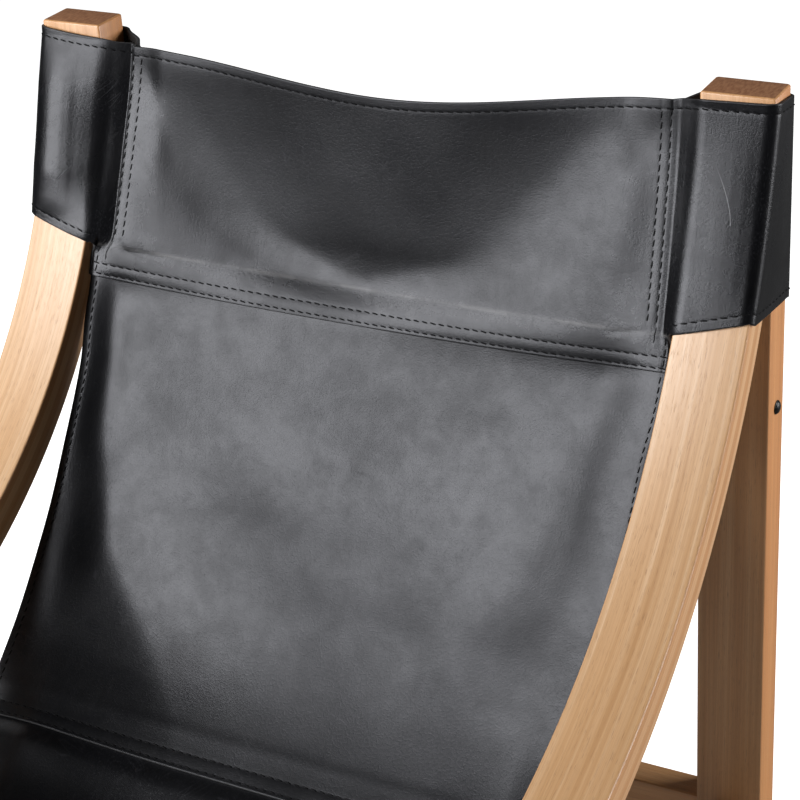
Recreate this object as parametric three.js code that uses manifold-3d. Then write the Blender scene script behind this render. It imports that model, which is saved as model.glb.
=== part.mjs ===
// Leather sling lounge chair: two bent side members, two straight rear posts,
// cross rails, and a thick leather sling hung from the post tops and a front dowel.
// Units mm, +Z up, +X the sitter's left, the chair faces -Y, floor at Z = 0.
import * as THREE from 'three';
import { mergeVertices } from 'three/addons/utils/BufferGeometryUtils.js';
import Module from 'manifold-3d';

const wasm = await Module();
wasm.setup();

// ---- driving dimensions ----
const HEIGHT = 850;          // floor to the top of the rear posts
const HALF_OUT = 337;        // half the width over the posts
const POST_W = 60;           // width of posts and side members, along X
const HALF_IN = HALF_OUT - POST_W;
const POST_T = 36.6;         // rear post thickness, along Y
const MEMBER_T = 33;         // side member thickness
const GAP = 0.3;             // between touching pieces
const GLIDE_H = 4;
const GLIDE_R = 12.5;
const EASE = 1.2;            // eased wood edges

// side member: front face on one long arc, level arm, then a bend down to the front foot
const ARC_Y = -490.3, ARC_Z = 68, ARC_R = 496.5;
const MEMBER_TOP = -30;      // top end, hidden in the leather pocket
const BEND_Y = -650, BEND_R = 90;
const FRONT = BEND_Y - BEND_R;                  // front face of the front foot
const ARM_TOP = ARC_Z - ARC_R;                  // level top face
const BEND_Z = ARM_TOP - BEND_R;

// rails
const RAIL_H = 60, RAIL_T = 28, RAIL_Y = 19;
const UPPER_RAIL_Z = -270.5;
const LOWER_RAIL_TOP = -676;
const SIDE_RAIL_H = 44, SIDE_RAIL_T = 28;
const SIDE_RAIL_Z = LOWER_RAIL_TOP - SIDE_RAIL_H / 2;
const DOWEL_R = 16;
const DOWEL_Y = BEND_Y - 52, DOWEL_Z = BEND_Z + 52;

// fasteners
const BOLT_R = 3, HEAD_R = 6, HEAD_H = 3.4;
const NUT_R = 5, INSERT_R = 4.6;

// leather
const LEATHER = 3;
const PANEL_HALF = 271;      // half width of back and seat panels
const HEAD_HALF = 250;       // half width of the head panel between the pockets
const POCKET_TOP = -6, POCKET_BOTTOM = -172;
const SEAM_TOP = -200;       // seam of head panel and back panel
const SLEEVE_HALF = 262;

// all Y and Z below are measured from the top front edge of a rear post
const Y0 = -(FRONT - HEAD_H + POST_T + HEAD_H) / 2;
const Z0 = HEIGHT;
const FOOT = GLIDE_H - HEIGHT;

// ---- helpers ----
const side = new THREE.Matrix4().makeBasis(
  new THREE.Vector3(0, 1, 0), new THREE.Vector3(0, 0, 1), new THREE.Vector3(1, 0, 0));

// a Y-Z outline carried along X from x1 to x2
function prism(pts, x1, x2, ease = 0) {
  const s = new THREE.Shape(pts.map(([y, z]) => new THREE.Vector2(y, z)));
  const g = new THREE.ExtrudeGeometry(s, {
    depth: x2 - x1 - 2 * ease, steps: 1, curveSegments: 1,
    bevelEnabled: ease > 0, bevelThickness: ease, bevelSize: ease, bevelOffset: -ease, bevelSegments: 1 });
  g.translate(0, 0, x1 + ease);
  g.applyMatrix4(side);
  return g;
}
const box = (y1, y2, z1, z2, c = 0) => c
  ? [[y1 + c, z1], [y2 - c, z1], [y2, z1 + c], [y2, z2 - c], [y2 - c, z2], [y1 + c, z2], [y1, z2 - c], [y1, z1 + c]]
  : [[y1, z1], [y2, z1], [y2, z2], [y1, z2]];

// round things: profile [radius, along], turned about an axis
function turned(profile, n, axis, at) {
  const g = new THREE.LatheGeometry(profile.map(([r, h]) => new THREE.Vector2(r, h)), n);
  const q = new THREE.Quaternion().setFromUnitVectors(new THREE.Vector3(0, 1, 0), axis);
  g.applyQuaternion(q);
  g.translate(...at);
  return g;
}
const X = new THREE.Vector3(1, 0, 0), Y = new THREE.Vector3(0, 1, 0), Z = new THREE.Vector3(0, 0, 1);
const rod = (r, h1, h2, n, axis, at, c = 0) => turned(c
  ? [[0, h1], [r - c, h1], [r, h1 + c], [r, h2 - c], [r - c, h2], [0, h2]]
  : [[0, h1], [r, h1], [r, h2], [0, h2]], n, axis, at);

function solid(g) {
  const a = g.clone();
  a.deleteAttribute('normal');
  if (a.attributes.uv) a.deleteAttribute('uv');
  const b = mergeVertices(a, 1e-4);
  const idx = b.index.array, p = b.attributes.position.array, t = [];
  for (let i = 0; i < idx.length; i += 3) {
    const [u, v, w] = [idx[i], idx[i + 1], idx[i + 2]];
    if (u !== v && v !== w && w !== u) t.push(u, v, w);
  }
  const make = (tri) => new wasm.Manifold(new wasm.Mesh({
    numProp: 3, vertProperties: new Float32Array(p), triVerts: new Uint32Array(tri) }));
  let m = make(t);
  if (m.volume() < 0) {
    for (let i = 0; i < t.length; i += 3) [t[i], t[i + 1]] = [t[i + 1], t[i]];
    m = make(t);
  }
  return m;
}
const cut = (g, ...tools) => tools.reduce((m, t) => m.subtract(solid(t)), solid(g));

function geometry(m) {
  const mesh = m.getMesh();
  const n = mesh.numProp, pos = new Float32Array(mesh.vertProperties.length / n * 3);
  for (let i = 0; i < pos.length / 3; i++) for (let k = 0; k < 3; k++) pos[3 * i + k] = mesh.vertProperties[n * i + k];
  const g = new THREE.BufferGeometry();
  g.setAttribute('position', new THREE.BufferAttribute(pos, 3));
  g.setIndex(new THREE.BufferAttribute(new Uint32Array(mesh.triVerts), 1));
  return g;
}

const group = new THREE.Group();
group.name = 'sling_lounge_chair';
const LOOK = {
  wood: { color: 0xd8ac7a, roughness: 0.5, metalness: 0 },
  leather: { color: 0x26272b, roughness: 0.45, metalness: 0 },
  bolt: { color: 0x1b1b1c, roughness: 0.4, metalness: 0.6 },
  nut: { color: 0x9a9a98, roughness: 0.35, metalness: 1 },
  glide: { color: 0x2a2a2a, roughness: 0.7, metalness: 0 },
};
function put(name, shape, look) {
  const g = geometry(shape.getMesh ? shape : solid(shape));
  g.translate(0, Y0, Z0);
  g.computeVertexNormals();
  const m = new THREE.Mesh(g, new THREE.MeshStandardMaterial(LOOK[look]));
  m.name = name;
  group.add(m);
}

// ---- outlines ----
function arc(cy, cz, r, a1, a2, step) {
  const n = Math.max(1, Math.round(Math.abs(a2 - a1) / step)), out = [];
  for (let i = 0; i <= n; i++) {
    const a = (a1 + (a2 - a1) * i / n) * Math.PI / 180;
    out.push([cy + r * Math.cos(a), cz + r * Math.sin(a)]);
  }
  return out;
}
const deg = 180 / Math.PI;
const a0 = -Math.asin((ARC_Z - MEMBER_TOP) / ARC_R) * deg;
const rBack = ARC_R + MEMBER_T;
const aBack = -Math.acos((-ARC_Y - GAP) / rBack) * deg;
const memberOutline = [
  ...arc(ARC_Y, ARC_Z, ARC_R, a0, -90, 2),
  ...arc(BEND_Y, BEND_Z, BEND_R, 90, 180, 6),
  [FRONT, FOOT], [FRONT + MEMBER_T, FOOT],
  ...arc(BEND_Y, BEND_Z, BEND_R - MEMBER_T, 180, 90, 6),
  ...arc(ARC_Y, ARC_Z, rBack, -90, aBack, 2),
  [-GAP, MEMBER_TOP],
];

// mid-line of the sling seen from the side, from the top edge to the front sleeve
const sling = new THREE.CatmullRomCurve3([
  [6, -8], [-4, -50], [-24, -108], [-42, -158], [-58, -200], [-80, -248], [-107, -296], [-137, -342],
  [-168, -387], [-196, -421], [-236, -465], [-275, -500], [-303, -526], [-340, -546], [-388, -557],
  [-442, -556], [-502, -541], [-570, -511], [-640, -478], [-681.8, -460.4],
].map(([y, z]) => new THREE.Vector3(0, y, z)), false, 'centripetal');
sling.arcLengthDivisions = 600;
const SLING_LEN = sling.getLength();
function slingAt(test) {           // share of the length where the mid-line first passes a test
  for (let i = 0; i <= 2000; i++) if (test(sling.getPointAt(i / 2000))) return i / 2000;
  return 1;
}
// a strip of the sling between two shares of its length
function strip(u1, u2, n, shift = 0) {
  const up = [], down = [];
  for (let i = 0; i <= n; i++) {
    const u = u1 + (u2 - u1) * i / n, p = sling.getPointAt(u), t = sling.getTangentAt(u);
    const ny = t.z, nz = -t.y;      // towards the sitter
    up.push([p.y + ny * (LEATHER / 2 + shift), p.z + nz * (LEATHER / 2 + shift)]);
    down.push([p.y - ny * (LEATHER / 2 - shift), p.z - nz * (LEATHER / 2 - shift)]);
  }
  return [...up, ...down.reverse()];
}
const uSeam = slingAt((p) => p.z < SEAM_TOP);
const uFold = slingAt((p) => p.y < -300);
const g = GAP / SLING_LEN;

// ---- fasteners ----
// domed bolt: the underside of its head at 0, the shank along +
const boltProfile = (len) => [
  [0, -HEAD_H], [HEAD_R * 0.45, -HEAD_H * 0.93], [HEAD_R * 0.8, -HEAD_H * 0.66], [HEAD_R, -HEAD_H * 0.22], [HEAD_R, -GAP],
  [BOLT_R, -GAP], [BOLT_R, len - 1], [BOLT_R - 1, len], [0, len]];
const bolt = (len, axis, at) => turned(boltProfile(len), 16, axis, at);
const hole = (len, axis, at) => rod(BOLT_R + GAP, -1, len, 16, axis, at);
// cross nut: its length along `axis`, bored for a bolt along `boltAxis`
const crossNut = (half, axis, boltAxis, at) =>
  cut(rod(NUT_R, -half, half, 16, axis, at, 0.6), rod(BOLT_R + GAP, -20, 20, 16, boltAxis, at));

// ---- wood ----
const sides = [['left', 1], ['right', -1]];
const SHANK = POST_W + 36, NUT_AT = POST_W + 24;
for (const [name, s] of sides) {
  const x1 = s > 0 ? HALF_IN : -HALF_OUT, x2 = s > 0 ? HALF_OUT : -HALF_IN, xm = (x1 + x2) / 2;
  const inward = X.clone().multiplyScalar(-s), xo = s * HALF_OUT;
  const railBolts = [[RAIL_Y, UPPER_RAIL_Z], [RAIL_Y, LOWER_RAIL_TOP - RAIL_H / 2]];
  const topBolts = [-84, -116];

  // rear post
  const post = prism(box(0, POST_T, FOOT, 0, 0.8), x1, x2, EASE);
  put(`${name}_rear_post`, cut(post,
    ...railBolts.map(([y, z]) => hole(POST_W + 2, inward, [xo, y, z])),
    hole(POST_T + 2, Y.clone().negate(), [xm, POST_T, SIDE_RAIL_Z]),
    ...topBolts.map((z) => hole(POST_T + 2, Y.clone().negate(), [xm, POST_T, z])),
    ...topBolts.map((z) => rod(HEAD_R + 0.4, -HEAD_H - 0.8, 2, 20, Y, [xm, POST_T, z]))), 'wood');

  // bent side member
  put(`${name}_side_member`, cut(prism(memberOutline, x1, x2, EASE),
    hole(POST_W + 2, inward, [xo, DOWEL_Y, DOWEL_Z]),
    hole(MEMBER_T + 2, Y, [xm, FRONT, SIDE_RAIL_Z]),
    rod(INSERT_R + GAP, -12, 1, 16, Y, [xm, 0, topBolts[0]]),
    rod(INSERT_R + GAP, -16, 1, 16, Y, [xm, 0, topBolts[1]])), 'wood');

  // side stretcher, from the front foot to the rear post
  const yf = FRONT + MEMBER_T + GAP, yb = -GAP;
  put(`${name}_side_stretcher`, cut(
    prism(box(yf, yb, SIDE_RAIL_Z - SIDE_RAIL_H / 2, SIDE_RAIL_Z + SIDE_RAIL_H / 2, 0), xm - SIDE_RAIL_T / 2, xm + SIDE_RAIL_T / 2, EASE),
    rod(BOLT_R + GAP, -1, 38, 16, Y, [xm, yf, SIDE_RAIL_Z]),
    rod(BOLT_R + GAP, -1, 38, 16, Y.clone().negate(), [xm, yb, SIDE_RAIL_Z]),
    rod(NUT_R + GAP, -10.5, 20, 16, inward, [xm, yf + 24, SIDE_RAIL_Z]),
    rod(NUT_R + GAP, -10.5, 20, 16, inward, [xm, yb - 24, SIDE_RAIL_Z])), 'wood');

  // bolts and their nuts
  railBolts.forEach(([y, z], i) => {
    const rail = i ? 'lower' : 'upper';
    put(`${name}_${rail}_rail_bolt`, bolt(SHANK, inward, [xo, y, z]), 'bolt');
    put(`${name}_${rail}_rail_nut`, crossNut(10, Y, X, [s * (HALF_OUT - NUT_AT), y, z]), 'nut');
  });
  put(`${name}_front_dowel_bolt`, bolt(SHANK, inward, [xo, DOWEL_Y, DOWEL_Z]), 'bolt');
  put(`${name}_front_dowel_nut`, crossNut(10, Z, X, [s * (HALF_OUT - NUT_AT), DOWEL_Y, DOWEL_Z]), 'nut');
  put(`${name}_stretcher_front_bolt`, bolt(MEMBER_T + 36, Y, [xm, FRONT, SIDE_RAIL_Z]), 'bolt');
  put(`${name}_stretcher_front_nut`, crossNut(9.5, X, Y, [xm, yf + 24, SIDE_RAIL_Z]), 'nut');
  put(`${name}_stretcher_rear_bolt`, bolt(POST_T + 36, Y.clone().negate(), [xm, POST_T, SIDE_RAIL_Z]), 'bolt');
  put(`${name}_stretcher_rear_nut`, crossNut(9.5, X, Y, [xm, yb - 24, SIDE_RAIL_Z]), 'nut');
  topBolts.forEach((z, i) => {
    const sunk = POST_T - HEAD_H - 0.5, depth = i ? 14 : 10;
    put(`${name}_top_joint_bolt_${i + 1}`, bolt(sunk + depth - 1, Y.clone().negate(), [xm, sunk, z]), 'bolt');
    put(`${name}_top_joint_insert_${i + 1}`, cut(
      rod(INSERT_R, -depth - 1, -GAP, 16, Y, [xm, 0, z]),
      rod(BOLT_R + GAP, -depth - 2, 1, 16, Y, [xm, 0, z])), 'nut');
  });

  // glides
  const glide = (y) => rod(GLIDE_R, 0, GLIDE_H - GAP, 24, Z, [xm, y, -HEIGHT], 0.8);
  put(`${name}_rear_glide`, glide(POST_T / 2), 'glide');
  put(`${name}_front_glide`, glide(FRONT + MEMBER_T / 2), 'glide');

  // leather pocket round the post and the top of the member: a sleeve open at both ends
  const front = (z, off) => {
    const y = z > -14 ? 0 : ARC_Y + Math.sqrt(ARC_R ** 2 - (z - ARC_Z) ** 2);
    const ease = 5 * Math.sin(Math.PI * Math.min(1, Math.max(0, (z + 6) / -166)));
    return Math.min(0, y) - off - ease;
  };
  const zs = [-6, -20, -40, -60, -80, -100, -120, -140, -156, -172];
  const outer = [...zs.map((z) => [front(z, GAP + LEATHER), z]), [POST_T + GAP + LEATHER, POCKET_BOTTOM], [POST_T + GAP + LEATHER, POCKET_TOP]];
  const inz = [2, ...zs.slice(1, -1), -176];
  const inner = [...inz.map((z) => [front(z, GAP), z]), [POST_T + GAP, -176], [POST_T + GAP, 2]];
  const px = (a, b) => s > 0 ? [a, b] : [-b, -a];
  put(`${name}_pocket`, cut(
    prism(outer, ...px(HEAD_HALF + GAP, HALF_OUT + GAP + LEATHER)),
    prism(inner, ...px(HEAD_HALF + GAP + LEATHER, HALF_OUT + GAP))), 'leather');
}

// cross rails between the rear posts
const railEnd = HALF_IN - GAP;
for (const [name, z] of [['upper', UPPER_RAIL_Z], ['lower', LOWER_RAIL_TOP - RAIL_H / 2]]) {
  const tools = [];
  for (const [, s] of sides) {
    tools.push(rod(BOLT_R + GAP, -1, 40, 16, X.clone().multiplyScalar(-s), [s * railEnd, RAIL_Y, z]));
    tools.push(rod(NUT_R + GAP, -10.5, 20, 16, Y, [s * (HALF_OUT - NUT_AT), RAIL_Y, z]));
  }
  put(`${name}_back_rail`, cut(prism(box(RAIL_Y - RAIL_T / 2, RAIL_Y + RAIL_T / 2, z - RAIL_H / 2, z + RAIL_H / 2, EASE), -railEnd, railEnd), ...tools), 'wood');
}

// front dowel
{
  const tools = [];
  for (const [, s] of sides) {
    tools.push(rod(BOLT_R + GAP, -1, 40, 16, X.clone().multiplyScalar(-s), [s * railEnd, DOWEL_Y, DOWEL_Z]));
    tools.push(rod(NUT_R + GAP, -20, 10.5, 16, Z, [s * (HALF_OUT - NUT_AT), DOWEL_Y, DOWEL_Z]));
  }
  put('front_dowel', cut(rod(DOWEL_R, -railEnd, railEnd, 32, X, [0, DOWEL_Y, DOWEL_Z]), ...tools), 'wood');
}

// ---- sling ----
put('head_panel', prism(strip(0, uSeam - g, 8), -HEAD_HALF, HEAD_HALF), 'leather');
put('back_panel', prism(strip(uSeam, uFold - g, 16), -PANEL_HALF, PANEL_HALF), 'leather');
put('seat_panel', prism(strip(uFold, 1, 18), -PANEL_HALF, PANEL_HALF), 'leather');
put('front_sleeve', cut(
  rod(DOWEL_R + GAP + LEATHER, -SLEEVE_HALF, SLEEVE_HALF, 32, X, [0, DOWEL_Y, DOWEL_Z]),
  rod(DOWEL_R + GAP, -SLEEVE_HALF - 1, SLEEVE_HALF + 1, 32, X, [0, DOWEL_Y, DOWEL_Z])), 'leather');

export default group;
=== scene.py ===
# Leather sling lounge chair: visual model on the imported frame.
# Metres in the row frame. Most shapes are first written in millimetres measured from the top
# front edge of a rear post (x to the sitter's left, y back, z up) and then moved by row().
import math
import bpy
import numpy as np
from mathutils import Matrix, Vector


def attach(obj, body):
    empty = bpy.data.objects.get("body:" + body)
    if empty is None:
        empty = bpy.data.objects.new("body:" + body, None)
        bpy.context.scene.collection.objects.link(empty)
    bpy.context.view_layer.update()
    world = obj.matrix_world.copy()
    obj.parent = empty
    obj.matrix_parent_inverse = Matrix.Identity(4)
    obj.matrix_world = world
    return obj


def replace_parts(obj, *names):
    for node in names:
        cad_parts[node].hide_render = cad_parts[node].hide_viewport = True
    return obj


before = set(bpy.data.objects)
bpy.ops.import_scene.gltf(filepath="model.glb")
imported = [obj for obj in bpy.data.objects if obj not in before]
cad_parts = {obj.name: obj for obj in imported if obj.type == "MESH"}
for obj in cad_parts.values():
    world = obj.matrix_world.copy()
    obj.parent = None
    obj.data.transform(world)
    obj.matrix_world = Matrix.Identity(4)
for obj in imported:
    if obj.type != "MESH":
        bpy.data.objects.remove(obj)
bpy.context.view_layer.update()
SCENE = bpy.context.scene
Y0, Z0 = 351.7, 850.0


def row(p):
    """Millimetres from the post edge to metres in the row frame."""
    q = np.array(p, float)
    q[..., 1] += Y0
    q[..., 2] += Z0
    return q * 0.001


def unit(v):
    return v / np.maximum(np.linalg.norm(v, axis=-1, keepdims=True), 1e-12)


def step(a, b, x):
    t = np.clip((np.asarray(x, float) - a) / (b - a), 0, 1)
    return t * t * (3 - 2 * t)


# ---------------------------------------------------------------- camera
cam_data = bpy.data.cameras.new("view")
cam_data.sensor_fit = "HORIZONTAL"
cam_data.sensor_width = 36.0
cam_data.lens = 2116.14 * 36.0 / 800.0
cam_data.clip_end = 60
cam = bpy.data.objects.new("view", cam_data)
SCENE.collection.objects.link(cam)
R_ = Vector((0.886318, 0.459007, -0.061267)).normalized()
F_ = Vector((-0.432271, 0.772631, -0.464954))
F_ = (F_ - R_ * F_.dot(R_)).normalized()
U_ = R_.cross(F_)
m = Matrix((R_, U_, -F_)).transposed().to_4x4()
m.translation = Vector((0.808906, -1.097452, 1.403848))
cam.matrix_world = m
SCENE.camera = cam

# ---------------------------------------------------------------- materials


class Mat:
    """A node material, built by short calls."""

    def __init__(self, name):
        self.mat = bpy.data.materials.new(name)
        self.mat.use_nodes = True
        self.t = self.mat.node_tree
        self.t.nodes.clear()
        self.out = self.t.nodes.new("ShaderNodeOutputMaterial")

    def n(self, kind, ins=None, **props):
        node = self.t.nodes.new("ShaderNode" + kind)
        for k, v in props.items():
            setattr(node, k, v)
        for k, v in (ins or {}).items():
            s = node.inputs[k]
            if isinstance(v, bpy.types.NodeSocket):
                self.t.links.new(v, s)
            else:
                s.default_value = v
        return node

    def math(self, op, a, b=0.0, c=0.0, clamp=False):
        return self.n("Math", {0: a, 1: b, 2: c}, operation=op, use_clamp=clamp).outputs[0]

    def scale(self, vec, by):
        return self.n("VectorMath", {0: vec, 1: by}, operation="MULTIPLY").outputs[0]

    def add(self, vec, by):
        return self.n("VectorMath", {0: vec, 1: by}, operation="ADD").outputs[0]

    def noise(self, vec, scale=1.0, detail=3.0, rough=0.5, distortion=0.0):
        return self.n("TexNoise", {"Vector": vec, "Scale": scale, "Detail": detail, "Roughness": rough,
                                   "Distortion": distortion}).outputs["Fac"]

    def ramp(self, fac, stops, interp="LINEAR"):
        node = self.n("ValToRGB", {"Fac": fac})
        cr = node.color_ramp
        cr.interpolation = interp
        while len(cr.elements) < len(stops):
            cr.elements.new(0.5)
        for e, (pos, col) in zip(cr.elements, stops):
            e.position = pos
            e.color = (*col, 1) if hasattr(col, "__len__") else (col, col, col, 1)
        return node.outputs["Color"]

    def span(self, fac, a, b, lo=0.0, hi=1.0):
        return self.n("MapRange", {"Value": fac, "From Min": a, "From Max": b, "To Min": lo, "To Max": hi},
                      interpolation_type="SMOOTHSTEP").outputs["Result"]

    def mix(self, fac, a, b, mode="MIX"):
        node = self.n("Mix", data_type="RGBA", blend_type=mode)
        for i, v in ((0, fac), (6, a), (7, b)):
            if isinstance(v, bpy.types.NodeSocket):
                self.t.links.new(v, node.inputs[i])
            else:
                node.inputs[i].default_value = (*v, 1) if hasattr(v, "__len__") and len(v) == 3 else v
        return node.outputs[2]

    def bump(self, height, dist, strength=1.0, normal=None):
        ins = {"Height": height, "Distance": dist, "Strength": strength}
        if normal is not None:
            ins["Normal"] = normal
        return self.n("Bump", ins).outputs["Normal"]

    def finish(self, color, rough, normal=None, **fixed):
        ins = {"Base Color": color, "Roughness": rough}
        if normal is not None:
            ins["Normal"] = normal
        ins.update({k.replace("_", " "): v for k, v in fixed.items()})
        sh = self.n("BsdfPrincipled", ins)
        self.t.links.new(sh.outputs[0], self.out.inputs["Surface"])
        return self.mat


def wood_material(name, axis=None, offset=(0.0, 0.0, 0.0), tone_and_bounce_tint=(1.0, 1.0, 1.0)):
    """Pale clear-finished wood. Grain runs along the third grain coordinate: the attribute
    `grain` where a piece has one, or else the given axis of the row frame."""
    k = Mat(name)
    if axis is None:
        g = k.n("Attribute", attribute_name="grain").outputs["Vector"]
    else:
        o = k.n("TexCoord").outputs["Object"]
        s = k.n("SeparateXYZ", {0: o})
        order = {"X": ("Y", "Z", "X"), "Y": ("X", "Z", "Y"), "Z": ("X", "Y", "Z")}[axis]
        c = k.n("CombineXYZ")
        for i, a in enumerate(order):
            k.t.links.new(s.outputs[a], c.inputs[i])
        g = c.outputs[0]
    g = k.add(g, offset)
    # slow wander, so that stripes are never ruler straight
    wander = k.n("TexNoise", {"Vector": k.scale(g, (6, 6, 2.4)), "Scale": 1.0, "Detail": 1.0}).outputs["Color"]
    w = k.n("VectorMath", {0: wander, 1: (0.5, 0.5, 0.5)}, operation="SUBTRACT").outputs[0]
    g2 = k.add(g, k.scale(w, (0.009, 0.009, 0.0)))
    broad = k.noise(k.scale(g2, (95, 46, 0.9)), 1, 2.0, 0.55)
    bands = k.noise(k.scale(g2, (330, 190, 1.7)), 1, 2.5, 0.6)
    fine = k.noise(k.scale(g2, (1500, 1300, 9)), 1, 2.0, 0.6)
    pores = k.noise(k.scale(g2, (2300, 2300, 95)), 1, 1.0, 0.5)
    pore = k.span(pores, 0.62, 0.73)
    f = k.math("ADD", k.math("MULTIPLY", broad, 0.55), k.math("MULTIPLY", bands, 0.45))
    # the tint scales every colour of the wood; on the uprights and the cross rails it is a warmer, more orange tint
    # that is painted warm bounce light
    tint = lambda c: tuple(a * b for a, b in zip(c, tone_and_bounce_tint))
    face = k.ramp(f, [(0.34, tint((0.545, 0.300, 0.130))), (0.45, tint((0.620, 0.360, 0.168))), (0.53, tint((0.675, 0.412, 0.210))),
                      (0.64, tint((0.755, 0.505, 0.297)))])
    edge = k.ramp(f, [(0.34, tint((0.52, 0.235, 0.085))), (0.5, tint((0.61, 0.300, 0.118))), (0.64, tint((0.72, 0.405, 0.182)))])
    nrm = k.n("NewGeometry").outputs["Normal"]
    sn = k.n("SeparateXYZ", {0: nrm})
    side = k.span(k.math("ABSOLUTE", sn.outputs["X"]), 0.45, 0.85)
    if axis == "X":
        side = k.math("MULTIPLY", side, 0.0)
    col = k.mix(side, face, edge)
    col = k.mix(k.math("MULTIPLY", k.span(fine, 0.36, 0.66, 1.0, 0.0), 0.30), col, (0.42, 0.235, 0.105))
    col = k.mix(k.math("MULTIPLY", pore, 0.50), col, (0.27, 0.135, 0.058))
    if axis is None:
        # glue lines between the veneers, on the narrow faces only
        deep = k.n("SeparateXYZ", {0: g}).outputs["Y"]
        d = k.math("PINGPONG", k.math("ADD", deep, 0.0), 0.00413)
        line = k.math("MULTIPLY", k.span(d, 0.0, 0.00035, 1.0, 0.0), side)
        lay = k.noise(k.n("CombineXYZ", {0: k.math("FLOOR", k.math("DIVIDE", deep, 0.00826)), 2: 0.37}).outputs[0], 3.7, 0.0)
        col = k.mix(k.math("MULTIPLY", k.math("MULTIPLY", k.span(lay, 0.35, 0.65), side), 0.35), col, (0.80, 0.52, 0.29))
        col = k.mix(k.math("MULTIPLY", line, 0.40), col, (0.30, 0.135, 0.055))
    # end grain
    ends = "Z" if axis in (None, "Z") else axis
    end = k.span(k.math("ABSOLUTE", sn.outputs[ends]), 0.93, 0.985)
    if axis is None:
        low = k.n("SeparateXYZ", {0: k.n("TexCoord").outputs["Object"]}).outputs["Z"]
        end = k.math("MULTIPLY", end, k.span(low, 0.006, 0.02, 1.0, 0.0))
    gx = k.n("SeparateXYZ", {0: g})
    rings = k.noise(k.n("CombineXYZ", {0: gx.outputs[0], 1: k.math("MULTIPLY", gx.outputs[1], 0.35), 2: 0.0}).outputs[0], 420, 3, 0.6)
    dots = k.noise(k.n("CombineXYZ", {0: gx.outputs[0], 1: gx.outputs[1], 2: 0.0}).outputs[0], 2400, 1, 0.5)
    ecol = k.ramp(rings, [(0.35, (0.30, 0.122, 0.050)), (0.62, (0.47, 0.222, 0.104))])
    ecol = k.mix(k.math("MULTIPLY", k.span(dots, 0.55, 0.7), 0.4), ecol, (0.12, 0.045, 0.02))
    col = k.mix(end, col, ecol)
    rough = k.math("ADD", k.span(fine, 0.3, 0.7, 0.36, 0.46), k.math("MULTIPLY", end, 0.18))
    h = k.math("SUBTRACT", k.math("MULTIPLY", fine, 0.35), k.math("MULTIPLY", pore, 0.7))
    return k.finish(k.mix(1.0, col, (0.87, 0.87, 0.88), "MULTIPLY"), rough, k.bump(h, 0.00012, 0.55), Specular_IOR_Level=0.75)


SCRATCH = ((0.2955, -0.0555), (0.3145, -0.1040))


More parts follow.
